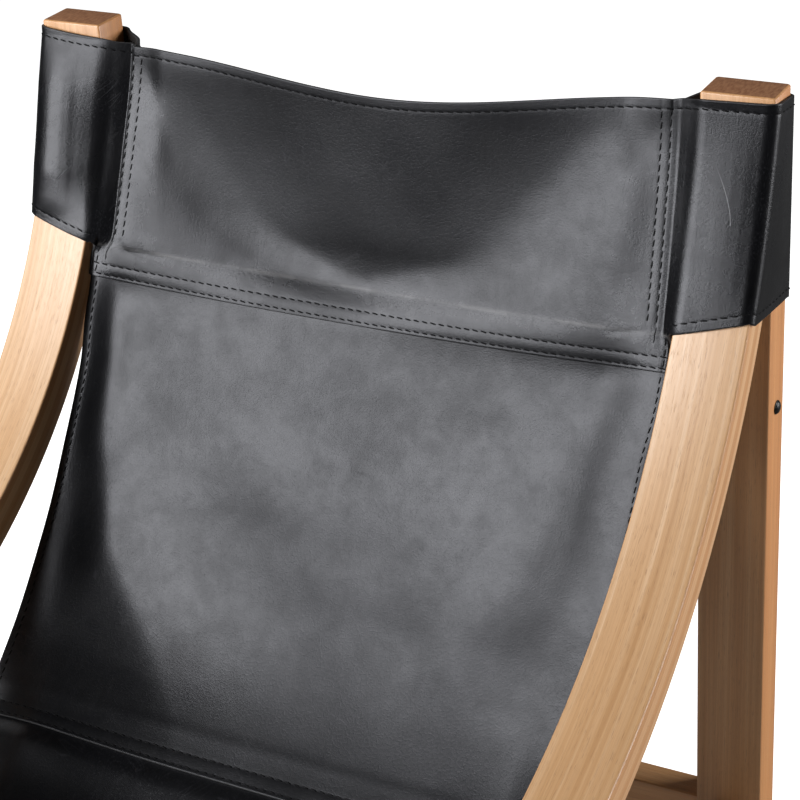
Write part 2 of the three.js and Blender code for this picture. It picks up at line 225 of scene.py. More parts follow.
def leather_material(name, seed=0.0):
    """Thick waxed black leather: cloudy grey bloom, fine pores and hairline scratches on the grain
    side, a matt fibrous flesh side, and a rubbed pale line on the cut edges."""
    k = Mat(name)
    uv = k.n("UVMap", uv_map="flat").outputs[0]
    p = k.add(uv, (seed, seed * 0.7, seed * 0.3))
    rim = k.n("Attribute", attribute_name="rim").outputs["Fac"]
    grain = k.n("Attribute", attribute_name="grain_side").outputs["Fac"]
    worn = k.n("Attribute", attribute_name="worn").outputs["Fac"]
    taut = k.n("Attribute", attribute_name="taut").outputs["Fac"]
    cloud = k.noise(p, 9, 5, 0.62, 0.6)
    mott = k.noise(k.add(p, (3.1, 1.7, 0)), 48, 5, 0.68, 0.3)
    brush = k.noise(k.scale(k.add(p, (0.4, 2.2, 0)), (260, 42, 1)), 1, 3, 0.6)
    fine = k.noise(p, 420, 4, 0.7)
    pores = k.n("TexVoronoi", {"Vector": p, "Scale": 1050.0, "Randomness": 1.0}, feature="F1").outputs["Distance"]
    wr = k.n("TexVoronoi", {"Vector": k.add(p, k.scale(k.n("TexNoise", {"Vector": p, "Scale": 120.0, "Detail": 2.0}).outputs["Color"],
                                                       (0.004, 0.004, 0))),
                            "Scale": 260.0}, feature="DISTANCE_TO_EDGE").outputs["Distance"]
    # hairline scratches: two stretched and turned line sets, broken up by a mask
    lines = None
    for ang, sc, off in ((0.5, (13, 150, 1), 1.3), (-1.0, (11, 170, 1), 4.1), (1.9, (16, 120, 1), 7.7)):
        rot = k.n("VectorRotate", {"Vector": k.add(p, (off, off, 0)), "Angle": ang}, rotation_type="Z_AXIS").outputs[0]
        wob = k.add(k.scale(rot, sc), k.scale(k.n("TexNoise", {"Vector": rot, "Scale": 9.0, "Detail": 1.0}).outputs["Color"], (0, 6, 0)))
        cell = k.n("TexVoronoi", {"Vector": wob, "Scale": 1.0}, feature="DISTANCE_TO_EDGE").outputs["Distance"]
        ln = k.math("MULTIPLY", k.span(cell, 0.0, 0.035, 1.0, 0.0), k.span(k.noise(k.add(p, (off, 0, 0)), 26, 2, 0.5), 0.60, 0.70))
        lines = ln if lines is None else k.math("MAXIMUM", lines, ln)
    # one long curved scratch on the front of a pocket
    sp = k.n("SeparateXYZ", {0: uv})
    along = k.n("MapRange", {"Value": sp.outputs["Y"], "From Min": SCRATCH[0][1], "From Max": SCRATCH[1][1], "To Min": 0.0, "To Max": 1.0}).outputs["Result"]
    bend = k.math("SUBTRACT", 1.0, k.math("POWER", k.math("SUBTRACT", 1.0, along, clamp=True), 1.6))
    at_u = k.math("ADD", SCRATCH[0][0], k.math("MULTIPLY", bend, SCRATCH[1][0] - SCRATCH[0][0]))
    off_u = k.math("ABSOLUTE", k.math("SUBTRACT", sp.outputs["X"], at_u))
    long_one = k.math("MULTIPLY", k.span(off_u, 0.00015, 0.00055, 1.0, 0.0), k.math("MULTIPLY", k.span(along, 0.0, 0.5), k.span(along, 0.97, 1.0, 1.0, 0.0)))
    wax = k.math("ADD", k.math("MULTIPLY", k.span(cloud, 0.34, 0.68), 0.55), k.math("MULTIPLY", k.span(mott, 0.34, 0.66), 0.45))
    haze = k.noise(k.scale(k.add(p, (5.2, 0.9, 0)), (900, 380, 1)), 1, 3, 0.7)
    top = k.mix(wax, (0.0007, 0.0007, 0.0009), (0.0042, 0.0043, 0.0052))
    top = k.mix(k.math("MULTIPLY", k.span(haze, 0.50, 0.74), k.span(cloud, 0.40, 0.62)), top, (0.0150, 0.0152, 0.0172))
    top = k.mix(k.math("MULTIPLY", k.span(brush, 0.5, 0.72), 0.22), top, (0.0125, 0.0126, 0.0145))
    top = k.mix(k.math("MULTIPLY", lines, 0.14), top, (0.040, 0.040, 0.046))
    top = k.mix(k.math("MULTIPLY", long_one, 0.6), top, (0.20, 0.20, 0.21))
    top = k.mix(k.math("MULTIPLY", worn, 0.55), top, (0.19, 0.185, 0.18))
    fib = k.noise(p, 900, 4, 0.75)
    flesh = k.mix(k.span(fib, 0.35, 0.68), (0.016, 0.0155, 0.0155), (0.050, 0.048, 0.047))
    col = k.mix(grain, flesh, top)
    cut = k.mix(k.noise(p, 700, 3, 0.6), (0.012, 0.012, 0.013), (0.075, 0.074, 0.076))
    col = k.mix(rim, col, cut)
    r_top = k.math("ADD", k.span(k.math("ADD", k.math("MULTIPLY", mott, 0.5), k.math("MULTIPLY", cloud, 0.5)), 0.36, 0.64, 0.372, 0.285),
                   k.math("MULTIPLY", lines, 0.04))
    r_top = k.math("SUBTRACT", r_top, k.math("MULTIPLY", taut, 0.085))
    rough = k.math("ADD", k.math("MULTIPLY", r_top, grain), k.math("MULTIPLY", k.math("SUBTRACT", 1.0, grain), 0.86))
    rough = k.math("ADD", rough, k.math("MULTIPLY", rim, 0.15))
    h = k.math("ADD", k.math("MULTIPLY", k.span(pores, 0.05, 0.5), 0.5), k.math("MULTIPLY", fine, 0.8))
    h = k.math("ADD", h, k.math("MULTIPLY", k.span(wr, 0.0, 0.12), 0.35))
    h = k.math("ADD", h, k.math("MULTIPLY", lines, -0.25))
    nrm = k.bump(h, 0.00010, 0.62)
    nrm = k.bump(k.math("ADD", mott, k.math("MULTIPLY", brush, 0.35)), 0.00040, 0.16, nrm)
    return k.finish(col, rough, nrm, Specular_IOR_Level=0.25, Specular_Tint=(0.93, 0.94, 1.0, 1.0))


def thread_material():
    k = Mat("waxed_thread")
    o = k.n("TexCoord").outputs["Object"]
    f = k.noise(o, 1400, 3, 0.6)
    col = k.mix(f, (0.0015, 0.0015, 0.0018), (0.006, 0.006, 0.007))
    return k.finish(col, k.span(f, 0.3, 0.7, 0.5, 0.7), k.bump(k.noise(o, 2600, 2, 0.5), 0.00015, 0.6), Specular_IOR_Level=0.12)


def metal_material(name, dark, light, r0, r1, metal, scale=500):
    k = Mat(name)
    o = k.n("TexCoord").outputs["Object"]
    f = k.noise(o, scale, 4, 0.65)
    s = k.noise(k.scale(o, (1, 1, 1)), scale * 5, 2, 0.6)
    col = k.mix(k.span(f, 0.3, 0.7), dark, light)
    return k.finish(col, k.span(s, 0.3, 0.7, r0, r1), k.bump(s, 0.00005, 0.4), Metallic=metal)


def rubber_material():
    k = Mat("glide_felt")
    o = k.n("TexCoord").outputs["Object"]
    f = k.noise(o, 900, 4, 0.7)
    col = k.mix(f, (0.012, 0.012, 0.013), (0.045, 0.044, 0.043))
    return k.finish(col, k.span(f, 0.3, 0.7, 0.75, 0.95), k.bump(f, 0.0003, 0.7))


WOOD_BENT = wood_material("wood_bent", tone_and_bounce_tint=(0.97, 0.97, 0.99))
# The uprights and the cross rails get a warmer, more orange tint than the bent members: painted warm bounce light for
# the shade they stand in.
WOOD_UP = wood_material("wood_upright", "Z", (0.31, 0.17, 0.9), (1.0, 0.86, 0.72))
WOOD_ACROSS = wood_material("wood_across", "X", (0.13, 0.41, 0.2), (1.0, 0.86, 0.72))
WOOD_LONG = wood_material("wood_lengthwise", "Y", (0.53, 0.07, 0.6))
LEATHER = leather_material("waxed_leather")
THREAD = thread_material()
BLACK = metal_material("blackened_steel", (0.012, 0.012, 0.012), (0.045, 0.043, 0.042), 0.28, 0.42, 0.8)
ZINC = metal_material("zinc", (0.36, 0.36, 0.35), (0.62, 0.62, 0.60), 0.25, 0.45, 1.0)
GLIDE = rubber_material()

# ---------------------------------------------------------------- mesh help


def mesh_object(name, verts, faces, mat, attrs=None, uv=None, sharp=None):
    me = bpy.data.meshes.new(name)
    me.from_pydata([tuple(v) for v in np.asarray(verts, float)], [], [tuple(int(i) for i in f) for f in faces])
    me.validate()
    for k, (kind, vals) in (attrs or {}).items():
        a = me.attributes.new(k, kind, "POINT")
        a.data.foreach_set("vector" if kind == "FLOAT_VECTOR" else "value", np.asarray(vals, np.float32).ravel())
    if uv is not None:
        lay = me.uv_layers.new(name="flat")
        idx = np.empty(len(me.loops), np.int32)
        me.loops.foreach_get("vertex_index", idx)
        lay.data.foreach_set("uv", np.asarray(uv, np.float32)[idx].ravel())
    me.materials.append(mat)
    me.shade_smooth()
    if sharp is not None:
        me.set_sharp_from_angle(angle=math.radians(sharp))
    ob = bpy.data.objects.new(name, me)
    SCENE.collection.objects.link(ob)
    return ob


def tube_faces(rings, per, caps=True):
    f = []
    for i in range(rings - 1):
        for j in range(per):
            a, b = i * per + j, i * per + (j + 1) % per
            f.append((a, b, b + per, a + per))
    if caps:
        f.append(tuple(range(per - 1, -1, -1)))
        f.append(tuple((rings - 1) * per + j for j in range(per)))
    return f


def rounded_section(w, t, r, n=4):
    """Closed outline of a w by t rectangle with corners of radius r, about its middle."""
    out = []
    for cx, cy, a0 in ((w / 2 - r, t / 2 - r, 0), (-w / 2 + r, t / 2 - r, 90), (-w / 2 + r, -t / 2 + r, 180), (w / 2 - r, -t / 2 + r, 270)):
        for i in range(n + 1):
            a = math.radians(a0 + 90 * i / n)
            out.append((cx + r * math.cos(a), cy + r * math.sin(a)))
    return np.array(out)


def lathe(profile, n, axis, at):
    """(radius, along) profile turned about an axis; closed where the radius is 0."""
    axis = Vector(axis).normalized()
    q = Vector((0, 0, 1)).rotation_difference(axis)
    verts, faces, last = [], [], None
    for r, h in profile:
        if r < 1e-6:
            ring = [len(verts)]
            verts.append(q @ Vector((0, 0, h)) + Vector(at))
        else:
            ring = list(range(len(verts), len(verts) + n))
            verts += [q @ Vector((r * math.cos(2 * math.pi * i / n), r * math.sin(2 * math.pi * i / n), h)) + Vector(at) for i in range(n)]
        if last is not None:
            for i in range(n):
                j = (i + 1) % n
                if len(last) == 1 and len(ring) > 1:
                    faces.append((last[0], ring[j], ring[i]))
                elif len(ring) == 1 and len(last) > 1:
                    faces.append((last[i], last[j], ring[0]))
                elif len(ring) > 1:
                    faces.append((last[i], last[j], ring[j], ring[i]))
        last = ring
    return np.array([tuple(v) for v in verts]), faces


def bore(ob, holes):
    """Cuts round holes: (axis, point, radius, from, to) in millimetres from the post edge."""
    cutters = []
    for axis, at, r, a, b in holes:
        v, f = lathe([(0, a), (r, a), (r, b), (0, b)], 24, axis, at)
        c = mesh_object("cutter", row(v), f, ob.data.materials[0])
        bpy.context.view_layer.update()
        md = ob.modifiers.new("bore", "BOOLEAN")
        md.operation = "DIFFERENCE"
        md.solver = "EXACT"
        md.object = c
        cutters.append(c)
    deps = bpy.context.evaluated_depsgraph_get()
    me = bpy.data.meshes.new_from_object(ob.evaluated_get(deps))
    ob.modifiers.clear()
    ob.data = me
    for c in cutters:
        bpy.data.objects.remove(c)


# ---------------------------------------------------------------- the bent side members
HALF_IN, HALF_OUT = 277.0, 337.0
ARC_Y, ARC_Z, ARC_R, MEMBER_T = -490.3, 68.0, 496.5, 33.0
BEND_Y, BEND_R, FRONT = -650.0, 90.0, -740.0
BEND_Z = ARC_Z - ARC_R - BEND_R
FOOT = -846.0


def member_stations():
    """Front point, outward direction and thickness along the bent member."""
    st = []
    a0 = -math.asin((ARC_Z + 30) / ARC_R)
    for i in range(97):
        a = a0 + (-math.pi / 2 - a0) * i / 96
        d = np.array([math.cos(a), math.sin(a)])
        f = np.array([ARC_Y, ARC_Z]) + ARC_R * d
        st.append((f, d, min(MEMBER_T, (-0.3 - f[0]) / max(d[0], 1e-6)) if d[0] > 1e-3 else MEMBER_T))
    down = np.array([0.0, -1.0])
    for i in range(1, 16):
        y = ARC_Y + (BEND_Y - ARC_Y) * i / 16
        st.append((np.array([y, ARC_Z - ARC_R]), down, MEMBER_T))
    for i in range(29):
        a = math.pi / 2 + math.pi / 2 * i / 28
        d = np.array([math.cos(a), math.sin(a)])
        st.append((np.array([BEND_Y, BEND_Z]) + BEND_R * d, -d, MEMBER_T))
    for i in range(1, 25):
        z = BEND_Z + (FOOT - BEND_Z) * i / 24
        st.append((np.array([FRONT, z]), np.array([1.0, 0.0]), MEMBER_T))
    return st


STATIONS = member_stations()
ST_F = np.array([s[0] for s in STATIONS])
ST_D = np.array([s[1] for s in STATIONS])
ST_S = np.concatenate([[0], np.cumsum(np.linalg.norm(np.diff(ST_F, axis=0), axis=1))])


def member_grain(co):
    """Across, deep and along coordinates of points of a bent member, in metres."""
    yz = co[:, 1:] * 1000 - np.array([Y0, Z0])
    out = np.zeros((len(co), 3))
    for i, p in enumerate(yz):
        d = np.sum((ST_F + ST_D * 16 - p) ** 2, axis=1)
        k = int(np.argmin(d))
        tan = unit(ST_F[min(k + 1, len(ST_F) - 1)] - ST_F[max(k - 1, 0)])
        q = p - ST_F[k]
        out[i] = (co[i, 0], float(q @ ST_D[k]) * 0.001, (ST_S[k] + float(q @ tan)) * 0.001)
    return out


def bent_member(name, s):
    xm = s * (HALF_IN + HALF_OUT) / 2
    rings = []
    n = len(STATIONS)
    ends = {0: 1.2, n - 1: 1.2}
    seq = [(0, 1.2)] + [(i, 0.0) for i in range(n)] + [(n - 1, 1.2)]
    for k, (i, inset) in enumerate(seq):
        f, d, t = STATIONS[i]
        e = inset
        sec = rounded_section(60 - 2 * e, max(t - 2 * e, 1.0), min(1.8, t / 2.3) if not e else 0.9)
        mid = f + d * t / 2
        if not e and i in ends:
            tan = unit(ST_F[1] - ST_F[0]) if i == 0 else unit(ST_F[-2] - ST_F[-1])
            mid = mid + tan * 1.2
        pts = np.array([(xm + x, *(mid + d * y)) for x, y in sec])
        rings.append(pts if s > 0 else pts)
    v = np.concatenate(rings)
    ob = mesh_object(name, row(v), tube_faces(len(rings), len(rings[0])), WOOD_BENT)
    ob.data.flip_normals() if signed_volume(ob) < 0 else None
    X = (-s, 0, 0)
    dy, dz = BEND_Y - 52, BEND_Z + 52
    bore(ob, [
        (X, (s * HALF_OUT, dy, dz), 3.3, -2, 62),
        ((0, 1, 0), (xm, FRONT, -698), 3.3, -2, 36),
        ((0, 1, 0), (xm, 0, -84), 4.9, -11.8, 2),
        ((0, 1, 0), (xm, 0, -116), 4.9, -15.8, 2)])
    co = np.array([v.co for v in ob.data.vertices])
    a = ob.data.attributes.new("grain", "FLOAT_VECTOR", "POINT")
    a.data.foreach_set("vector", (member_grain(co) + np.array([0.7 if s < 0 else 0.0, 0, 0.4 if s < 0 else 0.0])).astype(np.float32).ravel())
    ob.data.shade_smooth()
    ob.data.set_sharp_from_angle(angle=math.radians(32))
    return ob


def signed_volume(ob):
    me = ob.data
    me.calc_loop_triangles()
    co = np.array([v.co for v in me.vertices])
    tri = np.array([t.vertices[:] for t in me.loop_triangles])
    return float(np.einsum("ij,ij->i", co[tri[:, 0]], np.cross(co[tri[:, 1]], co[tri[:, 2]])).sum())


def upright(name, s):
    """A rear post: straight, soft arrises, a light chamfer round the top."""
    xm = s * (HALF_IN + HALF_OUT) / 2
    rings = []
    levels = [(FOOT, 1.3), (FOOT + 0.5, 0.5), (FOOT + 1.3, 0)] + [(z, 0) for z in np.linspace(FOOT + 60, -60, 16)] + [
        (-1.8, 0.0), (-1.1, 0.22), (-0.5, 0.7), (-0.12, 1.35), (0.0, 2.1)]
    for z, e in levels:
        sec = rounded_section(60 - 2 * e, 36.6 - 2 * e, 1.7)
        rings.append(np.array([(xm + x, 18.3 + y, z) for x, y in sec]))
    ob = mesh_object(name, row(np.concatenate(rings)), tube_faces(len(rings), len(rings[0])), WOOD_UP)
    ob.data.flip_normals() if signed_volume(ob) < 0 else None
    X = (-s, 0, 0)
    bore(ob, [
        (X, (s * HALF_OUT, 19, -270.5), 3.3, -2, 62), (X, (s * HALF_OUT, 19, -706), 3.3, -2, 62),
        ((0, -1, 0), (xm, 36.6, -698), 3.3, -2, 39),
        ((0, -1, 0), (xm, 36.6, -84), 3.3, -2, 39), ((0, -1, 0), (xm, 36.6, -116), 3.3, -2, 39),
        ((0, -1, 0), (xm, 36.6, -84), 6.4, -2, 4.2), ((0, -1, 0), (xm, 36.6, -116), 6.4, -2, 4.2)])
    ob.data.shade_smooth()
    ob.data.set_sharp_from_angle(angle=math.radians(32))
    return ob


SIDES = (("left", 1.0), ("right", -1.0))
for side_name, s in SIDES:
    o = bent_member(f"{side_name}_bent_member", s)
    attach(o, "root"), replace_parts(o, f"{side_name}_side_member"), o
    o = upright(f"{side_name}_upright", s)
    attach(o, "root"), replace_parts(o, f"{side_name}_rear_post"), o

# ---------------------------------------------------------------- bolts, and the CAD nodes that stay


def bolt_piece(name, node, axis, at, shank):
    """Blackened bolt: a crowned head on a thin flange, and its shank."""
    prof = [(0, -3.4), (1.2, -3.36), (2.4, -3.18), (3.5, -2.84), (4.4, -2.36), (5.1, -1.78), (5.5, -1.2), (5.62, -1.0), (5.85, -0.95),
            (6.0, -0.8), (6.0, -0.4), (5.9, -0.3), (3.0, -0.3), (3.0, shank - 1), (2.2, shank), (0, shank)]
    v, f = lathe(prof, 36, axis, at)
    ob = mesh_object(name, row(v), f, BLACK, sharp=50)
    ob.data.flip_normals() if signed_volume(ob) < 0 else None
    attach(ob, "root"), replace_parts(ob, node), ob


for side_name, s in SIDES:
    X = (-s, 0, 0)
    xm = s * 307
    bolt_piece(f"{side_name}_upper_bolt", f"{side_name}_upper_rail_bolt", X, (s * HALF_OUT, 19, -270.5), 96)
    bolt_piece(f"{side_name}_lower_bolt", f"{side_name}_lower_rail_bolt", X, (s * HALF_OUT, 19, -706), 96)
    bolt_piece(f"{side_name}_dowel_bolt", f"{side_name}_front_dowel_bolt", X, (s * HALF_OUT, BEND_Y - 52, BEND_Z + 52), 96)
    bolt_piece(f"{side_name}_front_foot_bolt", f"{side_name}_stretcher_front_bolt", (0, 1, 0), (xm, FRONT, -698), 69)
    bolt_piece(f"{side_name}_rear_foot_bolt", f"{side_name}_stretcher_rear_bolt", (0, -1, 0), (xm, 36.6, -698), 72.6)

for name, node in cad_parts.items():
    if node.hide_render:
        continue
    mat = None
    if name.endswith("side_stretcher"):
        mat = WOOD_LONG
    elif name.endswith("back_rail") or name == "front_dowel":
        mat = WOOD_ACROSS
    elif name.endswith("_nut") or "insert" in name:
        mat = ZINC
    elif name.endswith("_glide"):
        mat = GLIDE
    elif "bolt" in name:
        mat = BLACK
    if mat is not None:
        for sl in node.material_slots:
            sl.material = mat

# ---------------------------------------------------------------- the sling's mid-line
LINE = np.array([
    (9.2, 4), (6, -8), (-4, -50), (-24, -108), (-42, -158), (-58, -200), (-80, -248), (-107, -296), (-137, -342),
    (-168, -387), (-196, -421), (-236, -465), (-275, -500), (-303, -526), (-340, -546), (-388, -557),
    (-442, -556), (-502, -541), (-570, -510), (-632, -478), (-672, -459.8), (-694.9, -449.9)], float)


def spline(pts, per=24):
    """Centripetal Catmull-Rom through the points."""
    p = np.vstack([2 * pts[0] - pts[1], pts, 2 * pts[-1] - pts[-2]])
    out = []
    for i in range(1, len(p) - 2):
        t = [0.0]
        for j in range(3):
            t.append(t[-1] + np.linalg.norm(p[i + j] - p[i + j - 1]) ** 0.5)
        u = np.linspace(t[1], t[2], per, endpoint=False)[:, None]
        a1 = (t[1] - u) / (t[1] - t[0]) * p[i - 1] + (u - t[0]) / (t[1] - t[0]) * p[i]
        a2 = (t[2] - u) / (t[2] - t[1]) * p[i] + (u - t[1]) / (t[2] - t[1]) * p[i + 1]
        a3 = (t[3] - u) / (t[3] - t[2]) * p[i + 1] + (u - t[2]) / (t[3] - t[2]) * p[i + 2]
        b1 = (t[2] - u) / (t[2] - t[0]) * a1 + (u - t[0]) / (t[2] - t[0]) * a2
        b2 = (t[3] - u) / (t[3] - t[1]) * a2 + (u - t[1]) / (t[3] - t[1]) * a3
        out.append((t[2] - u) / (t[2] - t[1]) * b1 + (u - t[1]) / (t[2] - t[1]) * b2)
    out.append(p[-2][None])
    return np.vstack(out)


DOWEL = np.array([BEND_Y - 52, BEND_Z + 52])
FOLD = [DOWEL + 18.0 * np.array([math.cos(math.radians(a)), math.sin(math.radians(a))]) for a in range(82, 312, 10)]
UNDER = [np.array(p) for p in ((-684, -478.0), (-676, -470.6), (-666, -467.2), (-655, -470.2), (-640, -477.6))]
PROFILE = spline(np.vstack([LINE, FOLD, UNDER]))
PRO_S = np.concatenate([[0], np.cumsum(np.linalg.norm(np.diff(PROFILE, axis=0), axis=1))])
_t = unit(np.gradient(PROFILE, axis=0))
PRO_N = np.stack([_t[:, 1], -_t[:, 0]], axis=1)        # towards the sitter
n_main = np.argmin(np.linalg.norm(PROFILE - LINE[-1], axis=1))


def at_s(s):
    s = np.asarray(s, float)
    p = np.stack([np.interp(s, PRO_S, PROFILE[:, i]) for i in (0, 1)], axis=-1)
    n = unit(np.stack([np.interp(s, PRO_S, PRO_N[:, i]) for i in (0, 1)], axis=-1))
    return p, n


_down = PROFILE[:int(np.argmin(PROFILE[:n_main, 1]))]


def s_of_z(z):
    return np.interp(-np.asarray(z, float), -_down[:, 1], PRO_S[:len(_down)])


def z_line_y(z):
    """Y of the mid-line at a height."""
    return np.interp(-np.asarray(z, float), -_down[:, 1], _down[:, 0])


def s_of_y(y):
    k = int(np.argmin(np.abs(PROFILE[:n_main, 0] - y)))
    return float(PRO_S[k])


S_SEAM = float(s_of_z(-200))
S_FOLD = s_of_y(-303)
S_RIDGE = s_of_y(-280)
S_FRONT = float(PRO_S[n_main])
S_END = float(PRO_S[-1])


def table(s, pts):
    return np.interp(s, [p[0] for p in pts], [p[1] for p in pts])


def smooth_table(s, pts, w=14.0):
    """Piecewise linear, with its corners softened over a few centimetres."""
    return sum(table(np.asarray(s) + d * w, pts) for d in (-1, -0.5, 0, 0.5, 1)) / 5


S_ = lambda z: float(s_of_z(z))
HOLLOW_EDGE = [(S_(-205), 4), (S_(-240), 7), (S_(-300), 9.5), (380, 10.5), (425, 12.5), (468, 17), (505, 21), (543, 25), (570, 27), (S_FOLD, 28),
               (S_FOLD + 100, 17), (S_FOLD + 200, 12), (S_FRONT - 120, 6), (S_FRONT - 25, 0)]
EDGE_AT = [(S_(-200), 10), (S_(-300), 11), (355, 12), (380, 15), (425, 22), (468, 32), (505, 50), (543, 70), (565, 80), (590, 95), (S_FOLD, 105),
           (S_FOLD + 200, 105), (S_FRONT, 60)]
EDGE_W = [(S_(-200), 12), (355, 15), (380, 17), (425, 25), (468, 36), (505, 54), (543, 70), (565, 77), (590, 83), (S_FOLD, 88),
          (S_FOLD + 200, 80), (S_FRONT, 60)]
HOLLOW_WIDE = [(S_(-205), 9), (S_(-300), 8), (S_(-400), 6), (468, 5), (543, 4), (S_FOLD, 4), (S_FOLD + 150, 6), (S_FRONT - 100, 3), (S_FRONT - 20, 0)]


# slow sag and stretch of the leather, mm: rows 40 mm apart down the sling from s = 20, columns 60 mm apart from x = -240
SLACK = ((-7.5, -1.6, 2.2, -2.0, -7.9, -8.0, -2.1, 6.6, 6.3),
         (-4.1, -3.2, -0.8, -3.1, -10.8, -9.3, -2.7, 0.5, -5.6),
         (0.6, -1.4, -0.7, -2.1, -6.7, -6.2, -2.8, -3.9, -4.6),
         (2.3, -3.9, -1.4, -3.1, -4.5, -5.3, -7.4, -8.5, -1.1),
         (0.6, -3.9, -1.3, -2.7, -4.9, -6.9, -10.0, -6.7, 3.5),
         (-0.5, 1.4, 4.4, 3.8, 2.0, 1.8, -0.0, 0.2, 3.9),
         (-4.0, -1.1, 1.7, 2.5, 3.1, 5.5, 3.7, 0.1, -0.2),
         (-3.9, -0.9, 1.0, 3.7, 6.9, 10.7, 8.5, 4.0, -0.5),
         (-1.6, 0.9, 2.8, 6.3, 8.9, 8.9, 7.1, 2.3, -0.3),
         (1.5, 2.2, 4.5, 8.1, 11.7, 9.7, 7.0, 4.2, 3.3),
         (2.0, 0.0, 0.4, 1.3, 4.3, 5.8, 3.7, 2.1, 1.2),
         (4.7, 1.3, -1.3, -2.8, -1.8, 3.8, 1.7, -0.7, -0.4),
         (5.0, 0.5, -2.6, -4.6, -4.9, -0.5, 1.2, -1.0, -1.6),
         (2.0, -3.7, -8.5, -8.0, -7.1, -6.7, -2.3, 0.3, -0.0),
         (-1.0, -5.5, -10.5, -8.2, -7.7, -7.9, -3.6, 3.5, 6.1),
         (-4.4, -7.4, -10.1, -9.8, -9.4, -8.8, -4.9, 2.5, 9.3),
         (-7.7, -8.9, -9.9, -10.7, -10.5, -8.7, -4.6, 2.1, 10.4))


def slack(x, s):
    """Cubic B-spline surface over the control heights above."""
    def bell(t):
        t = np.abs(t)
        return np.where(t < 1, (4 - 6 * t ** 2 + 3 * t ** 3) / 6, np.where(t < 2, (2 - t) ** 3 / 6, 0))
    out = 0.0
    for i, row_ in enumerate(SLACK):
        out = out + bell((s - 20 - 40 * i) / 40) * sum(v * bell((x + 240 - 60 * j) / 60) for j, v in enumerate(row_))
    return out * step(250, 212, np.abs(x))


def ripples(x, s, k=0.0):
    """Small slow unevenness of thick leather."""
    w = np.zeros(np.broadcast(x, s).shape)
    for i, (lx, ls, ph, a) in enumerate(((290, 210, 0.3, 0.8), (-220, 260, 1.9, 0.6), (150, -190, 4.2, 0.22), (-105, 118, 2.6, 0.09),
                                         (66, 83, 5.5, 0.03))):
        w = w + a * np.sin(2 * math.pi * (x / lx + s / ls) + ph + k * (i + 1))
    return w


def least(a, b, k):
    """The smaller of two, with a rounded change over k."""
    h = np.clip(0.5 + 0.5 * (b - a) / k, 0, 1)
    return b * (1 - h) + a * h - k * h * (1 - h)


def above(u, w):
    """u where it is positive, 0 below, with a rounded change."""
    return w * np.logaddexp(0, np.asarray(u, float) / w)


def hollow(x, s):
    """How far the sling lies behind its mid-line: a scoop in the head panel, and below the seam
    a wide hollow that falls off steeply by one edge and gently by the other."""
    x, s = np.broadcast_arrays(np.asarray(x, float), np.asarray(s, float))
    ax = np.abs(x)
    z = np.interp(s, PRO_S[:len(_down)], _down[:, 1])
    lean = -0.3 + 0.188 * above(-z - 27, 6)
    flank = (0.176 - 0.082 * step(-138, -212, z)) * above(243 - ax, 9)
    flank = flank * (1 + np.where(x < 0, 0.24, 0.06) * step(242, 165, ax))
    floor_ = 19.4 + 0.36 * above(z + 209, 5)
    scoop = least(least(lean, flank, 1.0 + 7.5 * step(250, 195, ax)), floor_, 14.0)
    at, w, depth = smooth_table(s, EDGE_AT), smooth_table(s, EDGE_W), smooth_table(s, HOLLOW_EDGE)
    e = np.clip(264.5 - ax, 0, None)
    steep = 0.76 * step(at - w - 2, at + 0.93 * w, e) + 0.24 * step(at - w, at + 1.75 * w, e)
    gentle = step(0 * e - 5, depth * 7.8 + 12, e)
    wide = np.clip(1 - (x / 264.5) ** 2, 0, None)
    panel = depth * np.where(x < 0, steep, gentle) + smooth_table(s, HOLLOW_WIDE) * wide
    panel = panel - 4.2 * np.exp(-((s - S_FOLD - 6) / 30.0) ** 2) * step(266, 236, ax)
    low = step(-184, -228, z)
    fade = step(250, 215, ax)
    return scoop * (1 - low) + panel * low + slack(x, s) + ripples(x, s) * fade * step(S_FRONT - 10, S_FRONT - 90, s)


def seam_z(x):
    """Height of the upper seam's first stitch line."""
    return -200 - 5.8 * np.clip(1 - (x / 271.0) ** 2, 0, None)


def sling_point(x, s, lift=0.0):
    """A point of the sling x mm across and s mm down its mid-line, lifted towards the sitter."""
    p, n = at_s(s)
    q = p + n * (lift - hollow(x, s))[..., None]
    wider = 1 + 0.0155 * step(S_(-176), S_(-190), s) * step(S_(-285), S_(-235), s)
    return np.stack([np.broadcast_to(x, q.shape[:-1]) * wider, q[..., 0], q[..., 1]], axis=-1)


# ---------------------------------------------------------------- sheets of leather
THICK = 3.0
RIM = [(0.34, 1.37), (0.56, 1.0), (0.62, 0.35), (0.62, -0.35), (0.56, -1.0), (0.34, -1.37)]


